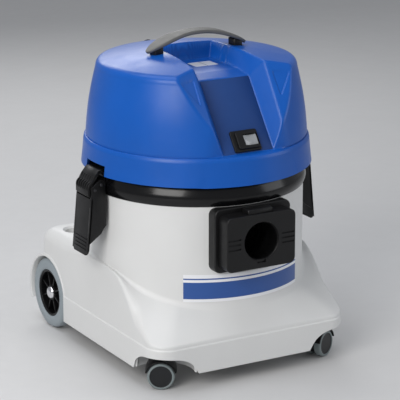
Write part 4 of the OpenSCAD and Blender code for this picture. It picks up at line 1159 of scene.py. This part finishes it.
class VACUUM_OT_wheels(bpy.types.Operator):
    """Builds the rear wheels: tyres, spoked hubs and bright axle caps"""

    bl_idname = "vacuum.wheels"
    bl_label = "Rear wheels"

    def execute(self, context):
        spokes = context.scene.vacuum_sizes.spokes
        wide, hub_r = WHEEL_W, 37.0
        tyre_path = rounded_path([(hub_r, 1.6), (hub_r + 3, 0), (WHEEL_R - 8, 0), (WHEEL_R - 2.5, 1.2), (WHEEL_R, 6),
                                  (WHEEL_R, wide - 6), (WHEEL_R - 2.5, wide - 1.2), (WHEEL_R - 8, wide),
                                  (hub_r + 3, wide), (hub_r, wide - 1.6)],
                                 [0.6, 1.5, 3, 3, 4, 4, 3, 3, 1.5, 0.6], 6, closed=True)
        rim_path = rounded_path([(hub_r - 4, 2), (hub_r, 2), (hub_r, wide - 3), (hub_r - 1.2, wide - 1.8),
                                 (hub_r - 4, wide - 3.4)], [0.6] * 5, 4, closed=True)
        web_path = rounded_path([(10, 6), (hub_r - 3, 6), (hub_r - 3, 9), (22, 10), (10, 10)],
                                [0.3, 0.3, 1, 2, 0.3], 4, closed=True)
        boss_path = rounded_path([(5.05, 0), (11, 0), (11, 8), (12.5, 10), (12, wide - 5), (9.8, wide - 4),
                                  (5.05, wide - 4)], [0.3, 0.8, 1, 1, 1, 0.8, 0.3], 4, closed=True)
        spoke = prism([(10.5, -1.5), (hub_r - 2.5, -0.8), (hub_r - 2.5, 0.8), (10.5, 1.5)], 8, wide - 5.6)
        for name, side in (("right", 1), ("left", -1)):
            place = at_wheel(side)
            piece(f"tyre_{name}_rubber", [placed(lathe(tyre_path, 160), place)], "tyre", f"wheel_{name}",
                  "tyre_grey", f"tyre_{name}", sharp=50)
            rings = [placed(lathe(p, 96), place) for p in (rim_path, web_path, boss_path)]
            hub = settle(raw_object(f"hub_{name}_moulding", rings, finish("hub")))
            arms = repeated(spoke, spokes, 2 * math.pi / spokes, finish("hub"),
                            place @ Matrix.Rotation(math.pi / spokes, 4, "Z"), 0.5 * MM, "Spokes")
            ready(joined(f"hub_{name}_moulding", [hub, arms]), f"wheel_{name}", "black_matte", f"wheel_hub_{name}")
        cap = [(9.6 * math.cos(t), wide - 4.2 + 4.8 * math.sin(t)) for t in np.linspace(0.12, math.pi / 2, 12)]
        cap = [(0, wide - 5.2), (9.2, wide - 5.2), (10, wide - 4.4)] + cap[:-1] + [(0, wide + 0.6)]
        caps = [placed(lathe(cap, 64, closed=False), at_wheel(side)) for side in (1, -1)]
        piece("wheel_caps", caps, "chrome", "base", "chrome_cap", "axle_caps")
        return {"FINISHED"}


# ---------------------------------------------------------------- casters
CASTER_R, CASTER_W, CASTER_GAP = 20.0, 12.0, 4.0


class VACUUM_OT_casters(bpy.types.Operator):
    """Builds the twin-wheel casters: hoods, stems, discs and treads"""

    bl_idname = "vacuum.casters"
    bl_label = "Casters"

    def execute(self, context):
        joints = {j["name"]: j for j in frame["joints"]}
        wheel_r, wheel_w = CASTER_R, CASTER_W
        tread_path = rounded_path([(wheel_r - 3.7, 0.3), (wheel_r - 2, 0), (wheel_r, 1.5), (wheel_r, wheel_w - 1.5),
                                   (wheel_r - 2, wheel_w), (wheel_r - 3.7, wheel_w - 0.3)],
                                  [0.2, 1, 1.6, 1.6, 1, 0.2], 5, closed=True)
        disc_path = rounded_path([(0, wheel_w - 3), (0, wheel_w - 0.9), (wheel_r - 5.6, wheel_w - 1.3),
                                  (wheel_r - 3.7, wheel_w - 0.6), (wheel_r - 3.7, 0.4), (3.05, 0.4),
                                  (3.05, wheel_w - 3)],
                                 [0, 0, 1, 0.6, 0.6, 0.3, 0], 5)
        for name in ("left", "right"):
            swivel = joints[f"caster_{name}_swivel"]
            spin = joints[f"caster_{name}_outer_spin"]
            stem = np.array(swivel["pos_m"]) / MM - AXIS
            hub = np.array(spin["pos_m"]) / MM - AXIS
            axle = np.array(spin["axis"], float)
            ahead = unit([hub[0] - stem[0], hub[1] - stem[1], 0])
            side_axis = np.cross(ahead, [0, 0, 1])
            place = Matrix(np.vstack([np.c_[ahead, [0, 0, 1], side_axis, hub], [0, 0, 0, 1]]).tolist())
            sign = 1 if side_axis @ axle > 0 else -1
            for part, way in (("outer", sign), ("inner", -sign)):
                here = place @ Matrix.Scale(way, 4, (0, 0, 1)) @ moved(0, 0, CASTER_GAP)
                body = f"caster_wheel_{name}_{part}"
                piece(f"caster_{name}_{part}_tread", [placed(lathe(tread_path, 96), here)], "tread", body,
                      "caster_grey", f"caster_tread_{name}_{part}", sharp=50)
                piece(f"caster_{name}_{part}_disc", [placed(lathe(disc_path, 72), here)], "disc", body,
                      "black_matte", body)
            # The hood arches over both wheels, with a web between them and a column for the stem
            reach, rows = wheel_r + 3.5, []
            section = rounded_path([(wheel_r + 1.0, -16.6), (reach, -16.6), (reach + 0.4, 0), (reach, 16.6),
                                    (wheel_r + 1.0, 16.6)], [0.8, 2.2, 30, 2.2, 0.8], 5, closed=True)
            for angle in np.radians(np.linspace(15, 165, 48)):
                rows.append(np.c_[section[:, 0] * math.cos(angle), section[:, 0] * math.sin(angle), section[:, 1]])
            web = circle(reach - 0.5, 40, 15, 150)
            web = np.concatenate([web, circle(9, 12, 175, 190)])
            shapes = [placed(loft(rows), place), placed(prism(web, -3.0, 3.0), place)]
            hood = round_edges(raw_object(f"caster_{name}_hood", shapes, finish("hub")), 0.3 * MM, 2, 50)
            column = rounded_path([(5.6, 36), (9.4, 36), (9.4, 48), (5.6, 48)], [0.3, 0.3, 1.2, 0.5], 4, closed=True)
            column = raw_object("column", [placed(lathe(column, 64), moved(stem[0], stem[1], 0))], finish("hub"))
            ready(joined(f"caster_{name}_hood", [hood, settle(column)]), f"caster_{name}", "black_matte",
                  f"caster_hood_{name}")
        return {"FINISHED"}


# ---------------------------------------------------------------- inner parts and stage
INNER_FINISHES = {
    "seal": ("deck_seals",),
    "black": ("inlet_deflector", "caster_sockets", "motor_deck", "cooling_fan", "float_cage", "filter_caps"),
    "steel": ("fixing_screws", "button_spring", "rear_axle", "caster_pins_left", "caster_pins_right",
              "motor_bearings"),
    "alu": ("fan_housing", "impeller"),
    "iron": ("motor_frame",),
    "copper": ("armature",),
    "float": ("float_ball",),
    "paper": ("filter_pleats",),
}


class VACUUM_OT_inner_parts(bpy.types.Operator):
    """Gives the motor, filter, float and fixings their finishes"""

    bl_idname = "vacuum.inner_parts"
    bl_label = "Inner parts"

    def execute(self, context):
        for key, names in INNER_FINISHES.items():
            for name in names:
                node = frame["nodes"][name]
                for holder in node.material_slots:
                    holder.material = finish(key)
        return {"FINISHED"}


# Place, size, power and tint of each soft light
LIGHTS = {
    "Key": ((-1.9, -1.2, 1.4), (1.3, 1.3), 38, (1, 0.98, 0.96)),
    "Overhead": ((-0.5, 0.1, 2.1), (1.8, 1.2), 15, (0.94, 0.96, 1)),
    "Fill": ((1.7, -1.2, 0.9), (1.0, 1.4), 8, (0.95, 0.97, 1)),
    "Back edge": ((0.5, 1.9, 1.25), (1.2, 0.6), 9, (1, 1, 1)),
}


def area_light(name, spot, target, size, power, tint):
    """A soft light panel aimed at a point."""
    light = bpy.data.lights.new(name, "AREA")
    light.shape = "RECTANGLE"
    light.size, light.size_y = size
    light.energy = power
    light.color = tint
    obj = bpy.data.objects.new(name, light)
    obj.location = spot
    obj.rotation_euler = (Vector(target) - Vector(spot)).to_track_quat("-Z", "Y").to_euler()
    bpy.context.scene.collection.objects.link(obj)


class VACUUM_OT_stage(bpy.types.Operator):
    """Sets the pale floor, the soft lights and the camera"""

    bl_idname = "vacuum.stage"
    bl_label = "Stage"

    def execute(self, context):
        scene = context.scene
        floor = raw_object("studio_floor", [block((-6000, -6000, -2), (6000, 6000, 0))],
                           moulded_plastic("Studio floor", (0.62, 0.62, 0.62), 0.6, 60, 0.0, 0.01))
        world = bpy.data.worlds.new("Studio air")
        world.use_nodes = True
        world.node_tree.nodes["Background"].inputs["Color"].default_value = (0.72, 0.74, 0.78, 1)
        world.node_tree.nodes["Background"].inputs["Strength"].default_value = 0.42
        scene.world = world
        target = (0.0, 0.0, 0.24)
        for name, (spot, size, power, tint) in LIGHTS.items():
            area_light(name, spot, target, size, power, tint)
        turn, lift, away = math.radians(29.8), math.radians(15.9), 3.0
        aim = Vector((0.0055 * math.cos(turn), AXIS[1] * MM - 0.0055 * math.sin(turn), 0.2274))
        back = Vector((-math.sin(turn) * math.cos(lift), -math.cos(turn) * math.cos(lift), math.sin(lift)))
        camera = bpy.data.cameras.new("Camera")
        camera.sensor_width = 36
        camera.lens = 180.27
        eye = bpy.data.objects.new("Camera", camera)
        eye.location = aim + back * away
        eye.rotation_euler = (-back).to_track_quat("-Z", "Y").to_euler()
        scene.collection.objects.link(eye)
        scene.camera = eye
        scene.view_settings.view_transform = "Standard"
        return {"FINISHED"}


# ---------------------------------------------------------------- panel and registration
BUILD_ORDER = (
    VACUUM_OT_tub, VACUUM_OT_ring, VACUUM_OT_cover, VACUUM_OT_panel, VACUUM_OT_labels, VACUUM_OT_handle,
    VACUUM_OT_inlet, VACUUM_OT_latches, VACUUM_OT_wheels, VACUUM_OT_casters, VACUUM_OT_inner_parts, VACUUM_OT_stage,
)


class VACUUM_PT_sidebar(bpy.types.Panel):
    """Lists the vacuum's sizes, colours and pieces"""

    bl_label = "Shop Vacuum"
    bl_idname = "VACUUM_PT_sidebar"
    bl_space_type = "VIEW_3D"
    bl_region_type = "UI"
    bl_category = "Vacuum"

    def draw(self, context):
        for group in (context.scene.vacuum_sizes, context.scene.vacuum_colours):
            box = self.layout.box()
            for key in group.__annotations__:
                box.prop(group, key)
        for operator in BUILD_ORDER:
            self.layout.operator(operator.bl_idname)


CLASSES = (VacuumSizes, VacuumColours, *BUILD_ORDER, VACUUM_PT_sidebar)


def register():
    """Adds the classes and the scene's settings."""
    for item in CLASSES:
        bpy.utils.register_class(item)
    bpy.types.Scene.vacuum_sizes = PointerProperty(type=VacuumSizes)
    bpy.types.Scene.vacuum_colours = PointerProperty(type=VacuumColours)


def unregister():
    """Removes them again."""
    del bpy.types.Scene.vacuum_colours
    del bpy.types.Scene.vacuum_sizes
    for item in reversed(CLASSES):
        bpy.utils.unregister_class(item)


def main():
    """Builds the vacuum."""
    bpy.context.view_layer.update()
    register()
    for operator in BUILD_ORDER:
        group, name = operator.bl_idname.split(".")
        getattr(getattr(bpy.ops, group), name)()


if __name__ == "__main__":
    main()
